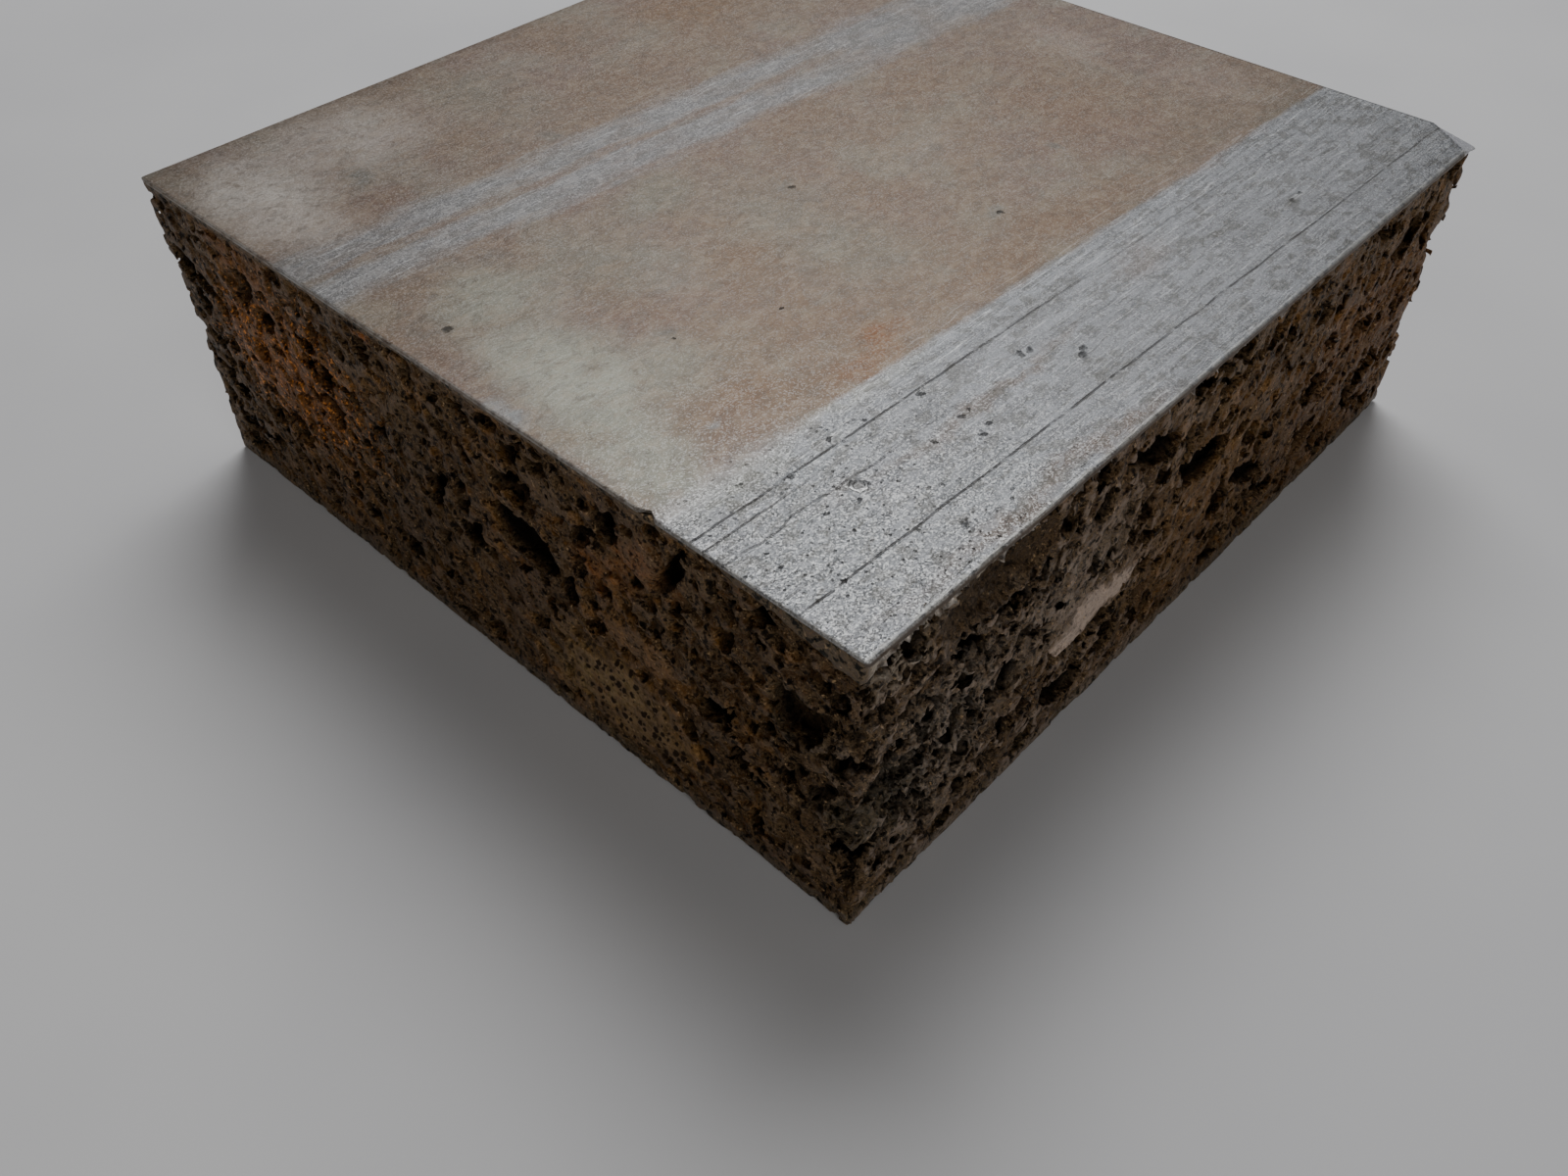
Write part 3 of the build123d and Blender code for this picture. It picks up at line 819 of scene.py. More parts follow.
def grainOn(place, size, contrast=1.0):
    inputs = {"Place": place, "Size": size, "Contrast": contrast}
    return addNode(treeOf(place), "ShaderNodeGroup", inputs, node_tree=metalGrain).outputs


def newMaterial(name):
    material = bpy.data.materials.new(name)
    material.use_nodes = True
    return material, material.node_tree, material.node_tree.nodes["Principled BSDF"]


def bumpFrom(shader, height):
    inputs = {"Height": height, "Distance": millimetre, "Strength": 1.0}
    bump = addNode(treeOf(height), "ShaderNodeBump", inputs)
    feed(shader.inputs["Normal"], bump.outputs["Normal"])


# The cast skin
skinPaint = {
    "warm": paint(91, 76, 63),
    "pink": paint(90, 74, 66),
    "olive": paint(108, 109, 99),
    "greyOlive": paint(90, 87, 77),
    "cool": paint(126, 130, 136),
    "drawn": paint(102, 105, 110),
    "streak": paint(93, 95, 99),
    "chalk": paint(158, 154, 149),
    # edge colour: a painted highlight on the lip's rim, wear on the -Y edge
    "litAndWornEdge": paint(178, 178, 175),
    # also the ring dent's painted highlight
    "speckLight": paint(214, 216, 218),
    # also the ring dent's painted shade
    "speckDark": paint(26, 27, 29),
    "line": paint(44, 40, 38),
    "fresh": paint(190, 192, 200),
    "orange": paint(90, 62, 27),
    "rust": paint(92, 55, 18),
    "brown": paint(88, 68, 51),
    "rose": paint(122, 108, 100),
    # also the painted shade in the ring dent's middle
    "smudge": paint(78, 77, 73),
    "blue": paint(112, 118, 122),
    "pale": paint(127, 129, 120),
    "mottleDark": paint(66, 54, 45),
    "mottleLight": paint(122, 111, 97),
}
# Stains on the top face: X, Y, reach in X and in Y, colour, strength
skinStains = [
    (20, 39, 20, 20, "orange", 0.36), (12, 44, 18, 14, "brown", 0.50), (-6, 30, 11, 17, "brown", 0.60),
    (30, 62, 14, 12, "rose", 0.30), (4, 58, 12, 9, "rose", 0.45), (37, 10, 5.5, 42, "brown", 0.85),
    (36.0, -29, 4.8, 7.0, "rust", 1.00), (38.6, -36, 3.0, 9, "rust", 0.75),
    (31.5, -49, 5.4, 6.4, "rust", 0.42), (-2, -42, 15, 14, "greyOlive", 0.75),
    (-8, -57, 12, 11, "olive", 0.80), (14, -60, 26, 12, "olive", 0.85), (16, -62, 22, 9, "pale", 0.55),
    (21, -50, 9, 8, "olive", 0.60), (8, -16, 20, 13, "greyOlive", 0.60),
    (-10, -26, 9, 15, "greyOlive", 0.70), (22, -16, 11, 13, "greyOlive", 0.45),
    (28, -65, 13, 9, "olive", 0.85), (37, -66, 8, 9, "olive", 0.90), (30, -66, 11, 7, "pale", 0.22),
    (31, -56, 8.0, 6.0, "brown", 0.60), (36, -46, 4.6, 13, "brown", 0.60),
    (30, -40, 12, 22, "brown", 0.46), (11, -28, 9, 4.5, "brown", 0.60), (6, -46, 11, 5, "brown", 0.42),
    (23, -31, 3, 2.5, "brown", 0.45), (14, -4, 9, 9, "brown", 0.35), (10, 14, 9, 9, "rose", 0.15),
    (-12, 8, 7, 14, "brown", 0.50), (22.5, -68, 4.5, 2.8, "orange", 0.28), (29, 3, 5, 6, "olive", 0.20),
    (-54, 24, 18, 16, "orange", 0.55), (-42, 4, 9, 26, "brown", 0.60), (-60, 0, 11, 9, "brown", 0.50),
    (-50, -22, 20, 10, "greyOlive", 0.45), (-44, -34, 9, 9, "brown", 0.35),
    (-40, -58, 11, 7, "orange", 0.22), (-58, -46, 18, 24, "chalk", 0.42),
    (-50, -64, 24, 12, "chalk", 0.80), (-45, -66, 12, 6, "rose", 0.35),
    (-45.5, -50, 4.4, 3.0, "smudge", 0.80), (-38.5, -51, 2.6, 1.6, "brown", 0.60),
    (-34, -22.5, 2.6, 2.6, "smudge", 0.60), (2.0, -9, 1.8, 2.2, "smudge", 0.80),
    (28.5, 5, 2.0, 3.0, "smudge", 0.75), (24.5, 26.7, 1.5, 2.0, "smudge", 0.70),
    (10, 14, 1.8, 2.6, "smudge", 0.45), (-18, -26, 2.6, 1.6, "smudge", 0.5),
    (-14, -50, 7, 4, "smudge", 0.40), (-6.5, -66.5, 5.4, 5.0, "smudge", 0.45),
    (-6.5, -66.0, 3.0, 2.6, "brown", 0.35), (13, -70.5, 5.2, 2.6, "blue", 0.75),
    (16, -47, 1.6, 1.4, "smudge", 0.6), (33, -55, 1.6, 1.4, "blue", 0.6),
    (-31, -59, 1.5, 1.2, "smudge", 0.5),
]
# Stains over the cool band, in the same form
bandStains = [
    (67.6, -40, 2.4, 34, "brown", 0.62), (68.5, -22, 3.0, 12, "orange", 0.30),
    (53.0, -30, 1.4, 30, "brown", 0.50), (51.2, -56, 1.6, 7, "brown", 0.30),
    (61, 60, 5, 8, "smudge", 0.35), (57.5, 36, 1.2, 4.2, "smudge", 0.70),
    (54, 20, 0.9, 8, "smudge", 0.55), (43, 40, 2.2, 22, "rose", 0.40), (50, 8, 4, 10, "rose", 0.35),
    (47, -33, 2.6, 3.0, "smudge", 0.45), (46, -9, 3.4, 5, "smudge", 0.30),
    (60, -16, 4, 8, "smudge", 0.28), (42.5, -62, 3.5, 12, "olive", 0.55),
    (41.5, -40, 1.6, 20, "olive", 0.40), (56, -62, 15, 13, "blue", 0.35), (62, -42, 7, 14, "blue", 0.25),
    (47, -52, 5, 14, "blue", 0.30),
]
# Small pits and dents on the top face: X, Y and radius
skinPits = [
    (51, -20.5, 0.7), (51.4, -19.0, 0.55), (56.8, -15.3, 0.9), (56.0, -14.2, 0.6), (53.2, -35.2, 0.6),
    (57, -36.2, 0.5), (56.4, -34.2, 0.4), (53.0, -33.6, 0.4), (47, -35.0, 0.5), (44.6, -49.0, 0.4),
    (57.7, 36, 0.7), (57.6, 38.4, 0.5), (-5.5, -65.2, 0.8), (45.3, -43.5, 0.4), (53.8, -41.0, 0.35),
    (54.0, -54.6, 0.45), (56.8, -58.6, 0.35), (52.8, -58.8, 0.35), (60.8, -65.0, 0.35),
    (52.2, -67.5, 0.3), (54.8, -68.0, 0.35), (55.0, -49.0, 0.4), (64.8, -49.5, 0.9), (2.6, -9.4, 0.6),
    (29.0, 5.2, 0.6), (17.0, -47.2, 0.34), (22.6, -33.4, 0.28), (45.6, -56.6, 0.5),
]
pitLength = 1.2      # how much longer than wide a pit is


# Mould lines: X where each starts at the -Y edge, drift in X per 100 mm, how far along it fades,
# where it ends, how much it wanders, and how strong it is
mouldLines = [
    (45.2, 2.6, 30.0, 160.0, 0.3, 0.74),
    (47.2, 2.6, 8.0, 20.0, 0.3, 0.60),
    (50.0, 4.0, 13.0, 116.0, 1.5, 0.44),
    (58.3, 0.8, 5.0, 16.0, 0.2, 0.35),
    (60.8, 2.1, 80.0, 160.0, 0.3, 0.74),
]
mouldLineWidth = 0.22


# The mould lines as thin dark creases, here and there broken
def lineMask(place, x, y):
    lines = []
    for index, (start, drift, fading, end, wander, strength) in enumerate(mouldLines):
        here = vectorCalc("ADD", stretched(place, (0.02, 1.0, 0.0)), (0.0, 31.0 * index, 0.0))
        sway = timesPlus(noiseValue(here, 0.11, 2.0, 0.55), 2 * wander, -wander)
        sway = plus(sway, timesPlus(y, drift / 100, start - drift * lowY / 100))
        away = calc("ABSOLUTE", minus(x, sway))
        thin = smoothStep(away, mouldLineWidth / 2 + 0.09, mouldLineWidth / 2 - 0.06)
        faded = smoothStep(y, lowY + 3.0 * fading, lowY + fading, 0.40, 1.0)
        faded = times(faded, smoothStep(y, lowY + end, lowY + end - 5.0, 0.0, strength))
        lines.append(times(thin, faded))
    broken = noiseValue(stretched(place, (0.35, 1.0, 0.0)), 0.35, 2.0, 0.6)
    return times(reduce(larger, lines), smoothStep(broken, 0.32, 0.50, 0.25, 1.0))


skinSettings = {
    "bandX": 42.0,         # where the cool band starts, the streak's middle and the gap in it, at Y = 0
    "streakX": -23.4,
    "gapX": -23.6,
    "ringPlace": (52.3, -52.8, 0.0),
    "ringRadius": 0.85,
    "roughness": 0.50,
    "metallic": 0.62,
}


def skinMaterial():
    material, tree, shader = newMaterial("castSkin")
    place = metalPlace(tree)
    x, y, z = splitVector(place)
    drift = drifted(place, 0.10, 3.0, 9.0)
    drift = vectorCalc("ADD", drift, noiseShift(place, 0.7, 2.0, 1.6))
    drift = vectorCalc("MULTIPLY", drift, (1.0, 1.0, 0.0))

    # Broad mottling from the heat and the mould
    broad = noiseValue(place, 0.035, 3.0, 0.55)
    colour = mixPaint(smoothStep(broad, 0.38, 0.62), skinPaint["warm"], skinPaint["pink"])
    other = noiseValue(vectorCalc("ADD", place, (40.0, 11.0, 5.0)), 0.075, 4.0, 0.6)
    colour = mixPaint(smoothStep(other, 0.48, 0.64, 0.0, 0.28), colour, skinPaint["olive"])

    def stained(start, stains):
        for stainX, stainY, reachX, reachY, name, strength in stains:
            mask = spotMask(drift, (stainX, stainY, 0.0), (reachX, reachY, 1000.0), 0.85)
            start = mixPaint(times(mask, strength), start, skinPaint[name])
        return start

    colour = stained(colour, skinStains)
    cloud = noiseValue(stretched(place, (1.0, 0.6, 1.0)), 0.22, 5.0, 0.65)
    colour = mixPaint(smoothStep(cloud, 0.50, 0.34, 0.0, 0.36), colour, skinPaint["brown"])
    colour = mixPaint(smoothStep(cloud, 0.54, 0.70, 0.0, 0.16), colour, skinPaint["pale"])

    mottle = noiseValue(stretched(drift, (1.0, 0.7, 1.0)), 0.60, 5.0, 0.72)
    colour = mixPaint(smoothStep(mottle, 0.49, 0.36, 0.0, 0.42), colour, skinPaint["mottleDark"])
    colour = mixPaint(smoothStep(mottle, 0.52, 0.66, 0.0, 0.30), colour, skinPaint["mottleLight"])

    # The wide cool band beside the lip, and the double streak, both along the mould lines
    bandRag = noiseValue(stretched(place, (1.2, 0.22, 1.0)), 0.6, 4.0, 0.7)
    raggedX = plus(x, timesPlus(bandRag, 3.0, -1.5))
    bandEdge = timesPlus(y, 0.030, skinSettings["bandX"])
    edgeSoft = smoothStep(y, -42.0, -62.0, 0.8, 3.4)      # the band's edge fades towards the -Y side
    band = smoothStep(minus(raggedX, bandEdge), times(edgeSoft, -1.0), edgeSoft)
    streakRag = noiseValue(stretched(place, (1.0, 0.14, 1.0)), 0.5, 4.0, 0.65)
    streakX = plus(x, timesPlus(streakRag, 7.0, -3.5))
    fromStreak = minus(streakX, timesPlus(y, 0.055, skinSettings["streakX"]))
    streak = smoothStep(calc("ABSOLUTE", fromStreak), 9.6, 4.8)
    fromGap = minus(streakX, timesPlus(y, 0.055, skinSettings["gapX"]))
    gap = times(smoothStep(calc("ABSOLUTE", fromGap), 1.7, 0.3), smoothStep(y, 34.0, 20.0))
    streak = times(streak, timesPlus(gap, -0.75, 1.0))
    patchy = noiseValue(stretched(place, (1.0, 0.35, 1.0)), 0.16, 3.0, 0.6)
    patchy = smoothStep(patchy, 0.30, 0.58, 0.45, 1.0)
    streak = times(streak, patchy)
    onTop = smoothStep(z, highZ - 1.6, highZ - 0.8)
    colour = mixPaint(times(streak, 0.85), colour, skinPaint["streak"])
    bandShare = times(times(band, 0.95), onTop)
    coolShare = larger(bandShare, times(streak, 0.60))
    drawn = noiseValue(stretched(place, (1.1, 0.06, 1.0)), 1.0, 5.0, 0.70)
    coolPaint = mixPaint(smoothStep(drawn, 0.40, 0.60), skinPaint["cool"], skinPaint["drawn"])
    colour = mixPaint(bandShare, colour, coolPaint)
    colour = stained(colour, bandStains)

    # Drawn lines along the band, and grain: strongest by the near corner, soft on the brown metal
    wavy = drifted(place, 0.10, 2.0, 1.8)
    fibres = noiseValue(stretched(wavy, (3.0, 0.09, 1.0)), 1.0, 4.0, 0.65)
    fibreShare = timesPlus(coolShare, 0.26, 0.05)
    drawnZone = smoothStep(calc("ABSOLUTE", minus(x, 43.5)), 8.0, 2.0, 0.0, 0.12)
    fibreShare = plus(fibreShare, drawnZone)
    colour = mixPaint(times(smoothStep(fibres, 0.50, 0.34), fibreShare), colour, skinPaint["smudge"])
    colour = mixPaint(times(smoothStep(fibres, 0.54, 0.70), fibreShare), colour, skinPaint["speckLight"])
    grain = grainOn(stretched(place, (1.0, 0.75, 1.0)), 0.165, 0.9)
    coarse = grainOn(stretched(place, (1.0, 0.6, 1.0)), 1.1)
    byCorner = spotMask(place, (highX, lowY, highZ), (62.0, 62.0, 50.0), 0.8)
    grainShare = timesPlus(coolShare, 0.36, 0.42)
    grainShare = times(grainShare, timesPlus(byCorner, 0.70, 0.35))
    colour = mixPaint(times(grain["Light"], grainShare), colour, skinPaint["speckLight"])
    darkShare = times(grainShare, 1.15)
    colour = mixPaint(times(grain["Dark"], darkShare), colour, skinPaint["speckDark"])
    coarseShare = timesPlus(coolShare, 0.26, 0.20)
    colour = mixPaint(times(coarse["Dark"], coarseShare), colour, skinPaint["smudge"])
    coarsePaint = mixPaint(coolShare, skinPaint["mottleLight"], skinPaint["cool"])
    colour = mixPaint(times(coarse["Light"], coarseShare), colour, coarsePaint)

    # Pepper dots by the near corner, then the larger pits by place
    dots = cellsAt(place, 1.15)
    dotSize = timesPlus(splitVector(dots["Color"])[0], 0.42, -0.17)
    pepper = smoothStep(minus(dots["Distance"], dotSize), 0.05, -0.06)
    pepper = times(pepper, times(byCorner, timesPlus(band, 0.7, 0.3)))
    uneven = drifted(place, 1.1, 2.0, 1.3)
    uneven = stretched(uneven, (1.0, 1.0, 0.0))
    rounded = stretched(uneven, (1.0, 1 / pitLength, 1.0))
    reaches = []
    for pitX, pitY, radius in skinPits:
        away = vectorCalc("DISTANCE", rounded, (pitX, pitY / pitLength, 0.0))
        reaches.append(times(away, 1 / radius))
    pit = smoothStep(reduce(smaller, reaches), 1.0, 0.15)
    pit = larger(pit, times(pepper, 0.8))
    pit = times(pit, onTop)
    colour = mixPaint(times(pit, 0.62), colour, skinPaint["speckDark"])

    # One ring dent in painted light and shade: a painted highlight on the +X, -Y side of its rim, painted
    # shade on the rest of the rim and in its middle. Then the mould lines and the fresh break at the far
    # corner
    inRing = vectorCalc("SUBTRACT", uneven, skinSettings["ringPlace"])
    fromRing = vectorCalc("LENGTH", inRing)
    ring = smoothStep(calc("ABSOLUTE", minus(fromRing, skinSettings["ringRadius"])), 0.42, 0.1)
    litRim = smoothStep(vectorCalc("DOT_PRODUCT", inRing, (0.7, -0.7, 0.0)), -0.4, 0.5)
    ringHighlight = times(ring, times(litRim, 0.85))
    ringShade = times(ring, timesPlus(litRim, -0.60, 0.60))
    line = times(lineMask(place, x, y), onTop)
    colour = mixPaint(smoothStep(fromRing, 0.80, 0.35, 0.0, 0.50), colour, skinPaint["smudge"])
    colour = mixPaint(ringShade, colour, skinPaint["speckDark"])
    colour = mixPaint(ringHighlight, colour, skinPaint["speckLight"])
    colour = mixPaint(times(line, 0.80), colour, skinPaint["line"])
    tornX, tornY, _ = blockSettings["tornCorner"]
    share = timesPlus(x, -1 / tornX, highX / tornX + highY / tornY)
    share = timesPlus(y, -1 / tornY, share)
    share = timesPlus(noiseValue(place, 0.7, 3.0), 0.24, minus(share, 0.12))
    fresh = smoothStep(share, 1.02, 0.96)
    colour = mixPaint(fresh, colour, skinPaint["fresh"])

    # Edges painted brighter, a painted highlight on the lip's rounded rim at +X and wear along the -Y edge;
    # and foam colour where the lip was torn off
    litAndWornEdge = larger(smoothStep(x, highX - 0.9, highX - 0.35), smoothStep(y, lowY + 0.4, lowY + 0.1))
    litAndWornEdge = times(litAndWornEdge, smoothStep(noiseValue(place, 0.9, 3.0), 0.36, 0.56, 0.10, 0.50))
    colour = mixPaint(litAndWornEdge, colour, skinPaint["litAndWornEdge"])
    lower = smoothStep(z, highZ - 0.36, highZ - 0.66)
    lower = times(lower, timesPlus(fresh, -1.0, 1.0))
    colour = mixPaint(times(lower, 0.85), colour, foamPaint["grey"])
    feed(shader.inputs["Base Color"], colour)

    # Roughness follows the grain and the bands
    rough = timesPlus(coolShare, -0.06, skinSettings["roughness"])
    rough = timesPlus(grain["Height"], 0.30, rough)
    rough = plus(rough, times(larger(pit, line), 0.25))
    rough = timesPlus(fresh, -0.12, rough)
    feed(shader.inputs["Roughness"], rough)
    shader.inputs["Metallic"].default_value = skinSettings["metallic"]

    scratches = noiseValue(stretched(place, (6.0, 0.10, 1.0)), 1.0, 2.0, 0.5)
    # The bump is worked out three times for each place, so its band has a plain edge
    plainBand = smoothStep(x, 40.0, 43.5)
    height = times(grain["Height"], timesPlus(plainBand, 0.045, 0.012))
    height = plus(height, times(coarse["Height"], 0.045))
    height = timesPlus(scratches, timesPlus(plainBand, 0.035, 0.006), height)
    height = timesPlus(fibres, timesPlus(plainBand, 0.060, 0.010), height)
    height = minus(height, times(pit, 0.16))
    height = minus(height, times(line, 0.12))
    height = plus(height, times(ring, 0.12))
    bumpFrom(shader, height)
    return material


# The sawn foam
foamPaint = {
    "dark": paint(58, 39, 21),
    "grey": paint(74, 57, 37),
    "tan": paint(134, 93, 42),
    # the metal's golden tone, and painted warm reflections
    "golden": paint(158, 90, 27),
    "pinkGrey": paint(134, 126, 117),
    # near black: painted shade in cells, holes and dark zones, and dark grain
    "cavity": paint(9, 7, 5),
    # painted glints and highlights
    "glint": paint(196, 164, 122),
    # the bare metal and the saw's plane, partly a painted highlight
    "pale": paint(200, 182, 168),
    "dense": paint(46, 49, 42),
    "recess": paint(72, 57, 41),
    "mossGrey": paint(72, 70, 58),
    "umber": paint(66, 38, 14),
    # painted shade inside the pinholes
    "pinBrown": paint(44, 31, 17),
    "pinholed": paint(142, 122, 82),
    # painted warm glints
    "bright": paint(236, 152, 66),
    "torn": paint(172, 164, 150),
}
# Coloured zones on the sawn sides: centre, radii, colour, strength. Some are painted light and shade, warm
# reflections in golden and shade in the cavity colour, marked below
foamStains = [
    ((30, lowY, 12), (18, 8, 12), "tan", 0.85), ((34, lowY, 24), (14, 6, 7), "tan", 0.85),
    ((36, lowY, 40), (8, 6, 8), "golden", 0.50), ((29, lowY, 34), (8, 5, 7), "golden", 0.50),
    # painted warm reflection at X -42, painted shade at the far -X end
    ((-42, lowY, 30), (24, 9, 17), "golden", 0.50), ((-67, lowY, 25), (13, 9, 40), "cavity", 0.85),
    # painted warm reflection at X -46
    ((-46, lowY, 46), (14, 5, 5), "golden", 0.40), ((-16, lowY, 47.4), (3, 4, 2.2), "golden", 0.9),
    ((foamX, -56, 22), (8, 20, 24), "pinkGrey", 0.90), ((foamX, -30, 28), (8, 22, 14), "pinkGrey", 0.70),
    ((foamX, -44, 5), (8, 32, 6), "pinkGrey", 0.20), ((foamX, -44, 0), (8, 46, 8), "dark", 0.75),
    # painted warm reflection at Y 52 on the +X side
    ((foamX, 52, 20), (12, 36, 26), "golden", 0.42), ((foamX, 6, 22), (10, 28, 24), "tan", 0.42),
    # painted shade at X -14
    ((foamX, 44, 14), (12, 56, 20), "dark", 0.85), ((-14, lowY, 20), (18, 8, 22), "cavity", 0.60),
    # painted shade at X -58
    ((-58, lowY, 16), (20, 9, 26), "cavity", 0.40), ((foamX, 56, 20), (12, 36, 30), "umber", 0.50),
    ((28, lowY, 12), (20, 8, 11), "pinholed", 0.85),
]
# Bare smooth metal in one cell's wall, painted pale, partly as a painted highlight: centre, radii
plateau = [
    ((foamX, -28.8, 18.2), (4.0, 5.4, 2.2)), ((foamX, -24.4, 20.6), (4.0, 5.2, 3.8)),
    ((foamX, -18.6, 20.0), (4.0, 6.4, 2.3)),
]
# Hollows that get less painted shade than their depth would give, each in its own colour: centre, radii,
# colour
litHollows = [
    ((foamX, -47.0, 43.0), (8.0, 14.0, 6.8), "recess"), ((60.2, lowY, 33.0), (5.4, 8.0, 6.0), "mossGrey"),
    ((foamX, -67.0, 19.0), (9.0, 9.5, 8.5), "mossGrey"),
]
finishSettings = {
    "plateauZone": ((foamX, -23.8, 19.6), (4.0, 10.5, 3.6)),      # all of the bare metal
    "pinholeZone": ((33.0, lowY, 12.0), (18.0, 4.0, 11.0)),
    # the zone of painted warm glints
    "warmGlintZone": ((-40.0, lowY, 30.0), (28.0, 9.0, 20.0)),
    "greySide": ((foamX, -52.0, 22.0), (14.0, 62.0, 40.0)),
    "tornZone": ((highX, -66.0, highZ), (7.0, 22.0, 9.5)),
    "roughness": 0.38,
    "specularLevel": 0.22,
    "metallic": 0.50,
}


def foamMaterial():
    material, tree, shader = newMaterial("sawnFoam")
    place = metalPlace(tree)
    x, y, z = splitVector(place)
    drift = drifted(place, 0.16, 3.0, 12.0)

    broad = noiseValue(place, 0.09, 3.0, 0.6)
    colour = mixPaint(smoothStep(broad, 0.42, 0.62), foamPaint["dark"], foamPaint["grey"])
    patch = noiseValue(vectorCalc("ADD", place, (13.0, 70.0, 31.0)), 0.22, 3.0, 0.6)
    greySide = spotMask(drift, *finishSettings["greySide"], 0.6)
    lightPaint = mixPaint(times(greySide, 0.85), foamPaint["tan"], foamPaint["pinkGrey"])
    colour = mixPaint(smoothStep(patch, 0.52, 0.68, 0.0, 0.65), colour, lightPaint)
    blotch = smoothStep(noiseValue(place, 0.42, 3.0, 0.6), 0.34, 0.62, 0.25, 1.0)
    for centre, radii, name, strength in foamStains:
        mask = times(spotMask(drift, centre, radii, 0.8), blotch)
        colour = mixPaint(times(mask, strength), colour, foamPaint[name])

    # The dense metal under the top skin and along the bottom
    toSkin = minus(minus(highZ, skinDepth(x, y)), z)
    denseMask = larger(smoothStep(toSkin, 0.5, -0.3), smoothStep(z, 3.2, 1.4))
    colour = mixPaint(times(denseMask, 0.75), colour, foamPaint["dense"])

    grain = grainOn(place, 0.30)
    unevenPlace = drifted(place, 0.5, 3.0, 3.2)
    plateauMask = reduce(larger, [spotMask(unevenPlace, *oval, 0.35) for oval in plateau])
    litMasks = []
    for centre, radii, name in litHollows:
        litMasks.append(spotMask(unevenPlace, centre, radii, 0.5))
        colour = mixPaint(times(litMasks[-1], 0.6), colour, foamPaint[name])
    litMask = reduce(larger, litMasks)
    # the bare metal painted pale, partly as a painted highlight
    colour = mixPaint(times(plateauMask, 0.85), colour, foamPaint["pale"])
    pinholed = spotMask(unevenPlace, *finishSettings["pinholeZone"], 0.4)
    calmFace = larger(pinholed, larger(plateauMask, times(litMask, 0.5)))
    # Painted light and shade on the crumpled relief: its dips painted darker as painted shade, its rises
    # paler as a painted highlight, and painted highlights along its ridges
    crumple = noiseValue(place, 0.85, 4.0, 0.66)
    ridge = calc("ABSOLUTE", timesPlus(crumple, 2.0, -1.0))
    ridge = smoothStep(ridge, 0.18, 0.0)
    relief = timesPlus(calmFace, -0.7, 1.0)
    shade = times(smoothStep(crumple, 0.50, 0.34, 0.0, 0.85), relief)
    raisedHighlight = timesPlus(greySide, 0.20, 0.50)
    raisedHighlight = times(smoothStep(crumple, 0.54, 0.70), raisedHighlight)
    colour = mixPaint(raisedHighlight, colour, lightPaint)
    colour = mixPaint(shade, colour, foamPaint["cavity"])
    colour = mixPaint(times(times(ridge, relief), 0.22), colour, foamPaint["glint"])
    colour = mixPaint(times(grain["Dark"], 0.45), colour, foamPaint["cavity"])
    # Painted glints: small bright specks all over, and warm ones in a zone on the -Y side, a painted
    # reflection of warm light
    sparkle = noiseValue(vectorCalc("ADD", place, (5.0, 50.0, 9.0)), 1.7, 2.0, 0.6)
    glint = smoothStep(sparkle, 0.63, 0.72)
    colour = mixPaint(times(glint, 0.60), colour, foamPaint["glint"])
    warmGlints = spotMask(drift, *finishSettings["warmGlintZone"], 0.6)
    warmGlints = times(warmGlints, smoothStep(sparkle, 0.56, 0.66))
    colour = mixPaint(times(warmGlints, 0.85), colour, foamPaint["bright"])

    # Pinholes: round ones in their own zone, and scattered ones elsewhere, painted dark inside as their
    # shade
    flatPlace = drifted(place, 1.0, 2.0, 0.9)
    flatX, _, flatZ = splitVector(flatPlace)
    leaning = timesPlus(flatZ, -0.35, flatX)
    flatPlace = addNode(tree, "ShaderNodeCombineXYZ", {"X": leaning, "Y": times(flatZ, 0.70)}).outputs[0]
    pins = cellsAt(flatPlace, 0.74, voronoi_dimensions="2D")
    pinSize = calc("POWER", splitVector(pins["Color"])[0], 1.6)
    pinSize = timesPlus(pinSize, 0.33, 0.06)
    pin = smoothStep(minus(pins["Distance"], pinSize), 0.08, -0.07)
    pin = times(pin, pinholed)
    holes = cellsAt(place, 0.95)
    holeSize = timesPlus(splitVector(holes["Color"])[1], 0.46, -0.14)
    hole = smoothStep(minus(holes["Distance"], holeSize), 0.05, -0.09)
    opened = larger(times(hole, relief), pin)
    colour = mixPaint(times(opened, 0.85), colour, foamPaint["cavity"])

    # The saw's own plane is painted a little paler, partly as burnished metal and partly as a painted
    # highlight, and opened cells get painted shade that deepens with depth, weaker in the lit hollows
    depth = sawnDepth(x, y)
    outermost = times(smoothStep(depth, 0.35, 0.05), smoothStep(crumple, 0.40, 0.60, 0.0, 0.34))
    outermost = times(outermost, smoothStep(y, lowY + 0.5, lowY + 2.0, 0.35, 1.0))
    outermost = times(outermost, smoothStep(y, -20.0, 20.0, 1.0, 0.2))
    colour = mixPaint(outermost, colour, foamPaint["pale"])
    cavity = smoothStep(depth, 0.35, 2.6)
    cavity = times(cavity, timesPlus(litMask, -0.62, 1.0))
    torn = spotMask(drift, *finishSettings["tornZone"], 0.5)
    torn = times(torn, smoothStep(depth, 1.3, 0.35, 0.0, 0.90))
    torn = times(torn, smoothStep(y, lowY + 0.6, lowY + 2.0))
    torn = times(torn, smoothStep(crumple, 0.36, 0.56, 0.1, 1.0))
    colour = mixPaint(torn, colour, foamPaint["torn"])
    # Painted shade: dark brown in the pinholes, near black deep in the opened cells
    colour = mixPaint(times(pin, 0.92), colour, foamPaint["pinBrown"])
    colour = mixPaint(times(cavity, 0.96), colour, foamPaint["cavity"])
    feed(shader.inputs["Base Color"], colour)

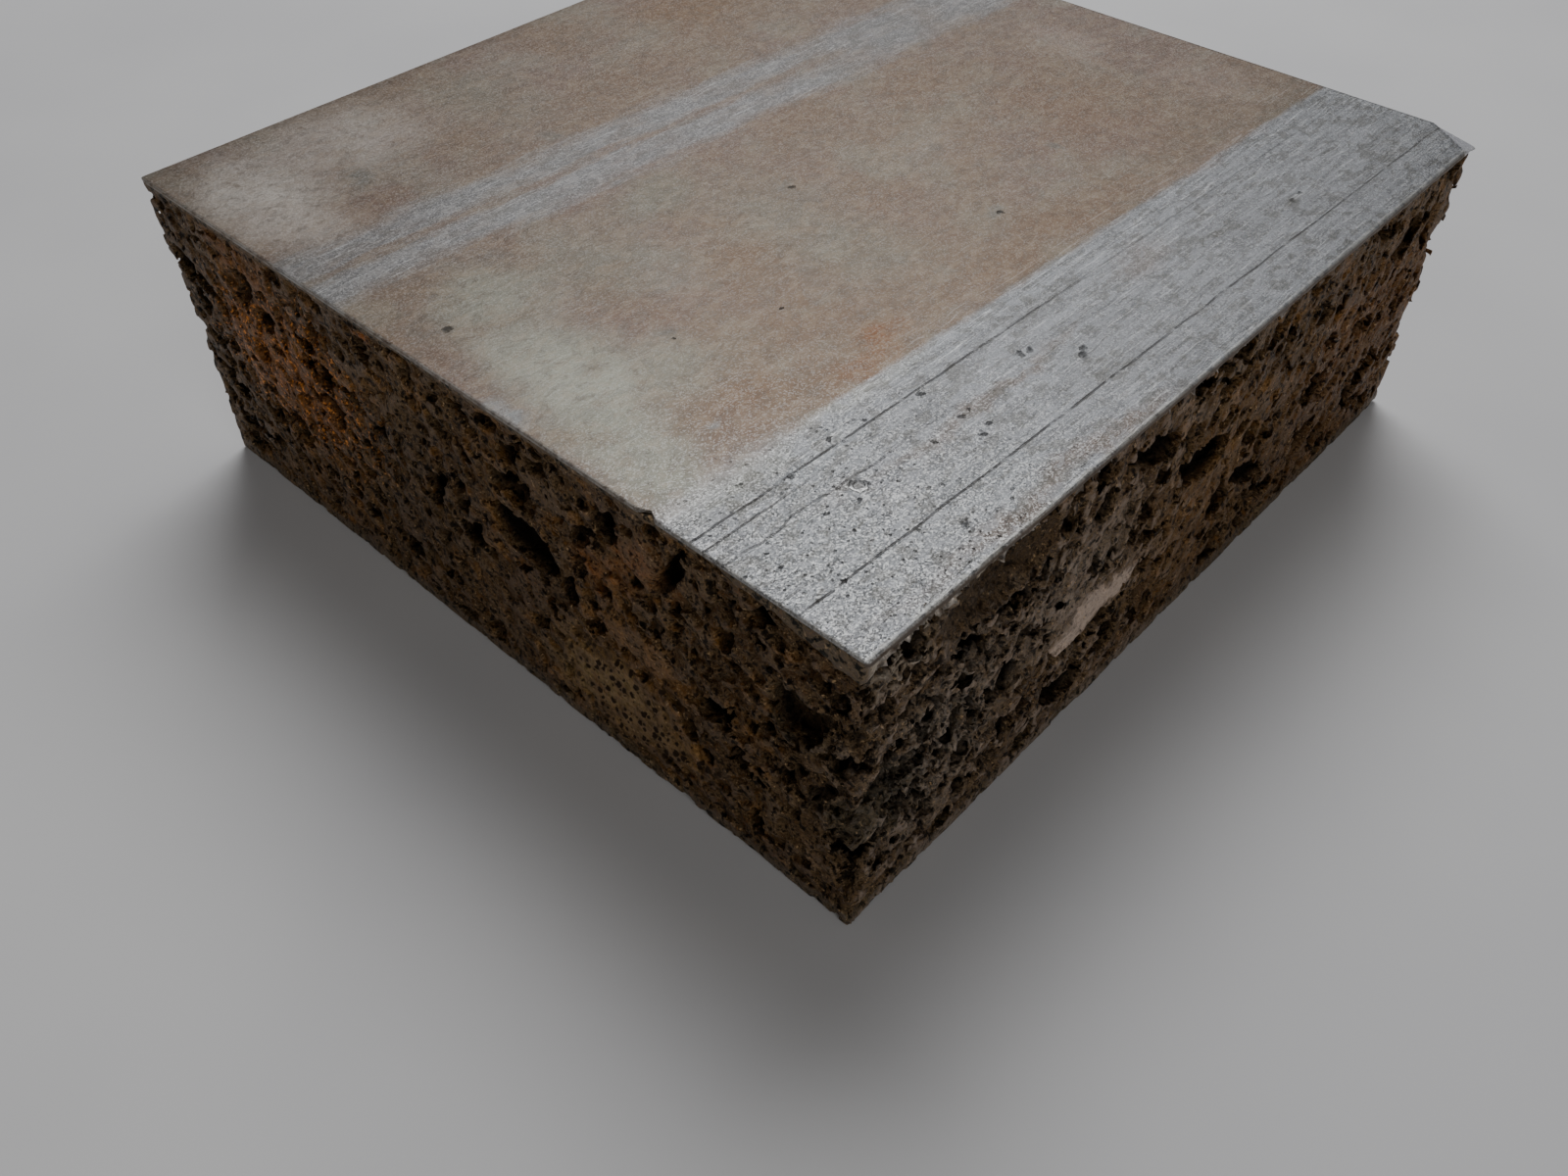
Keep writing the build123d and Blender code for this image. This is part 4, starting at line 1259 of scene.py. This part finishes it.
    rough = timesPlus(broad, 0.30, finishSettings["roughness"])
    rough = timesPlus(glint, -0.18, rough)
    rough = timesPlus(larger(cavity, opened), 0.30, rough)
    feed(shader.inputs["Roughness"], rough)
    shader.inputs["Specular IOR Level"].default_value = finishSettings["specularLevel"]
    shader.inputs["Metallic"].default_value = finishSettings["metallic"]

    # The bump is worked out three times for each place, so its calm zones have plain edges
    bareZone = spotMask(place, *finishSettings["plateauZone"], 0.35)
    calmZone = larger(bareZone, spotMask(place, *finishSettings["pinholeZone"], 0.4))
    height = timesPlus(hole, -0.30, crumple)
    height = times(height, timesPlus(calmZone, -0.7, 1.0))
    height = timesPlus(grain["Height"], 0.10, height)
    height = times(height, timesPlus(denseMask, -0.75, 1.0))
    bumpFrom(shader, height)
    return material


# The shreds under the lip: brown and light grey in patches, with dark grain
def shredMaterial():
    material, tree, shader = newMaterial("tornSkin")
    place = metalPlace(tree)
    grain = grainOn(place, 0.5)
    tone = smoothStep(noiseValue(place, 0.8, 2.0), 0.35, 0.65)
    colour = mixPaint(tone, paint(96, 84, 72), paint(176, 168, 158))
    colour = mixPaint(times(grain["Dark"], 0.6), colour, foamPaint["cavity"])
    feed(shader.inputs["Base Color"], colour)
    feed(shader.inputs["Roughness"], timesPlus(grain["Height"], 0.3, 0.42))
    shader.inputs["Metallic"].default_value = 0.6
    bumpFrom(shader, times(grain["Height"], 0.10))
    return material


print("materials")
castSkin = skinMaterial()
sawnFoam = foamMaterial()
tornSkin = shredMaterial()

print("foam")
foamPieces = makeFoam(sawnFoam)
topSkin = makeTopSkin(castSkin)
bottomSkin = makeBottomSkin(castSkin)
lipShreds = makeShreds(tornSkin)

for piece, slotName in [(item, "sawn_foam") for item in foamPieces] + [
        (topSkin, "cast_skin"), (bottomSkin, "cast_skin"), (lipShreds, "cast_skin")]:
    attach(piece, "root")
    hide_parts("foam_block")
    print(piece.name, "stands for foam_block")


# Floor, light and camera
stageSettings = {
    "floorSize": 4.0,
    "floorPaint": paint(196, 198, 202),
    "floorShade": paint(188, 190, 195),
    "worldPaint": paint(196, 200, 206),
    "worldStrength": 0.11,
}
lampSettings = {
    # place, aim, width, watts, colour
    "backSoftbox": ((-0.40, 0.50, 0.92), (0.0, 0.0, 0.03), 0.70, 12.0, (1.0, 0.98, 0.95)),
    "leftFill": ((-0.55, -0.60, 0.16), (-0.03, -0.05, 0.02), 0.40, 0.22, (1.0, 0.58, 0.26)),
    "rightFill": ((0.75, 0.45, 0.18), (0.06, 0.06, 0.02), 0.40, 0.25, (1.0, 0.60, 0.28)),
    "nearFill": ((0.80, -0.34, 0.42), (0.05, -0.03, 0.03), 0.55, 2.50, (1.0, 0.98, 0.95)),
    "frontFill": ((0.20, -0.80, 0.34), (0.02, -0.06, 0.02), 0.40, 0.42, (1.0, 0.84, 0.60)),
}
cameraSettings = {
    "place": (0.12288, -0.14065, 0.14838),
    "yaw": 42.98,      # degrees to the left of +Y
    "pitch": 45.53,    # degrees down
    "roll": -0.28,
    "lens": 30.91,
}


def makeStage():
    size = stageSettings["floorSize"] / 2
    mesh = bpy.data.meshes.new("floor")
    level = -0.0001
    corners = [(-size, -size, level), (size, -size, level), (size, size, level), (-size, size, level)]
    mesh.from_pydata(corners, [], [(0, 1, 2, 3)])
    floor = bpy.data.objects.new("floor", mesh)
    bpy.context.scene.collection.objects.link(floor)
    material, tree, shader = newMaterial("floorPaint")
    tone = noiseValue(metalPlace(tree), 0.01, 3.0)
    shade = mixPaint(smoothStep(tone, 0.3, 0.7), stageSettings["floorPaint"], stageSettings["floorShade"])
    feed(shader.inputs["Base Color"], shade)
    shader.inputs["Roughness"].default_value = 0.75
    mesh.materials.append(material)

    world = bpy.data.worlds.new("softRoom")
    world.use_nodes = True
    background = world.node_tree.nodes["Background"]
    background.inputs["Color"].default_value = stageSettings["worldPaint"]
    background.inputs["Strength"].default_value = stageSettings["worldStrength"]
    bpy.context.scene.world = world

    for name, (place, aim, width, watts, colour) in lampSettings.items():
        lamp = bpy.data.lights.new(name, "AREA")
        lamp.shape, lamp.size, lamp.energy, lamp.color = "SQUARE", width, watts, colour
        holder = bpy.data.objects.new(name, lamp)
        holder.location = place
        holder.rotation_euler = (Vector(aim) - Vector(place)).to_track_quat("-Z", "Y").to_euler()
        bpy.context.scene.collection.objects.link(holder)


def makeCamera():
    yaw, pitch, roll = [math.radians(cameraSettings[key]) for key in ("yaw", "pitch", "roll")]
    forward = Vector((-math.sin(yaw) * math.cos(pitch), math.cos(yaw) * math.cos(pitch), -math.sin(pitch)))
    right = Vector((math.cos(yaw), math.sin(yaw), 0))
    upward = right.cross(forward)
    turnedRight = math.cos(roll) * right + math.sin(roll) * upward
    turnedUp = -math.sin(roll) * right + math.cos(roll) * upward
    camera = bpy.data.objects.new("camera", bpy.data.cameras.new("camera"))
    basis = Matrix((turnedRight, turnedUp, -forward)).transposed()
    camera.matrix_world = Matrix.Translation(cameraSettings["place"]) @ basis.to_4x4()
    camera.data.lens = cameraSettings["lens"]
    camera.data.clip_start, camera.data.clip_end = 0.005, 20.0
    bpy.context.scene.collection.objects.link(camera)
    bpy.context.scene.camera = camera


print("stage")
makeStage()
makeCamera()
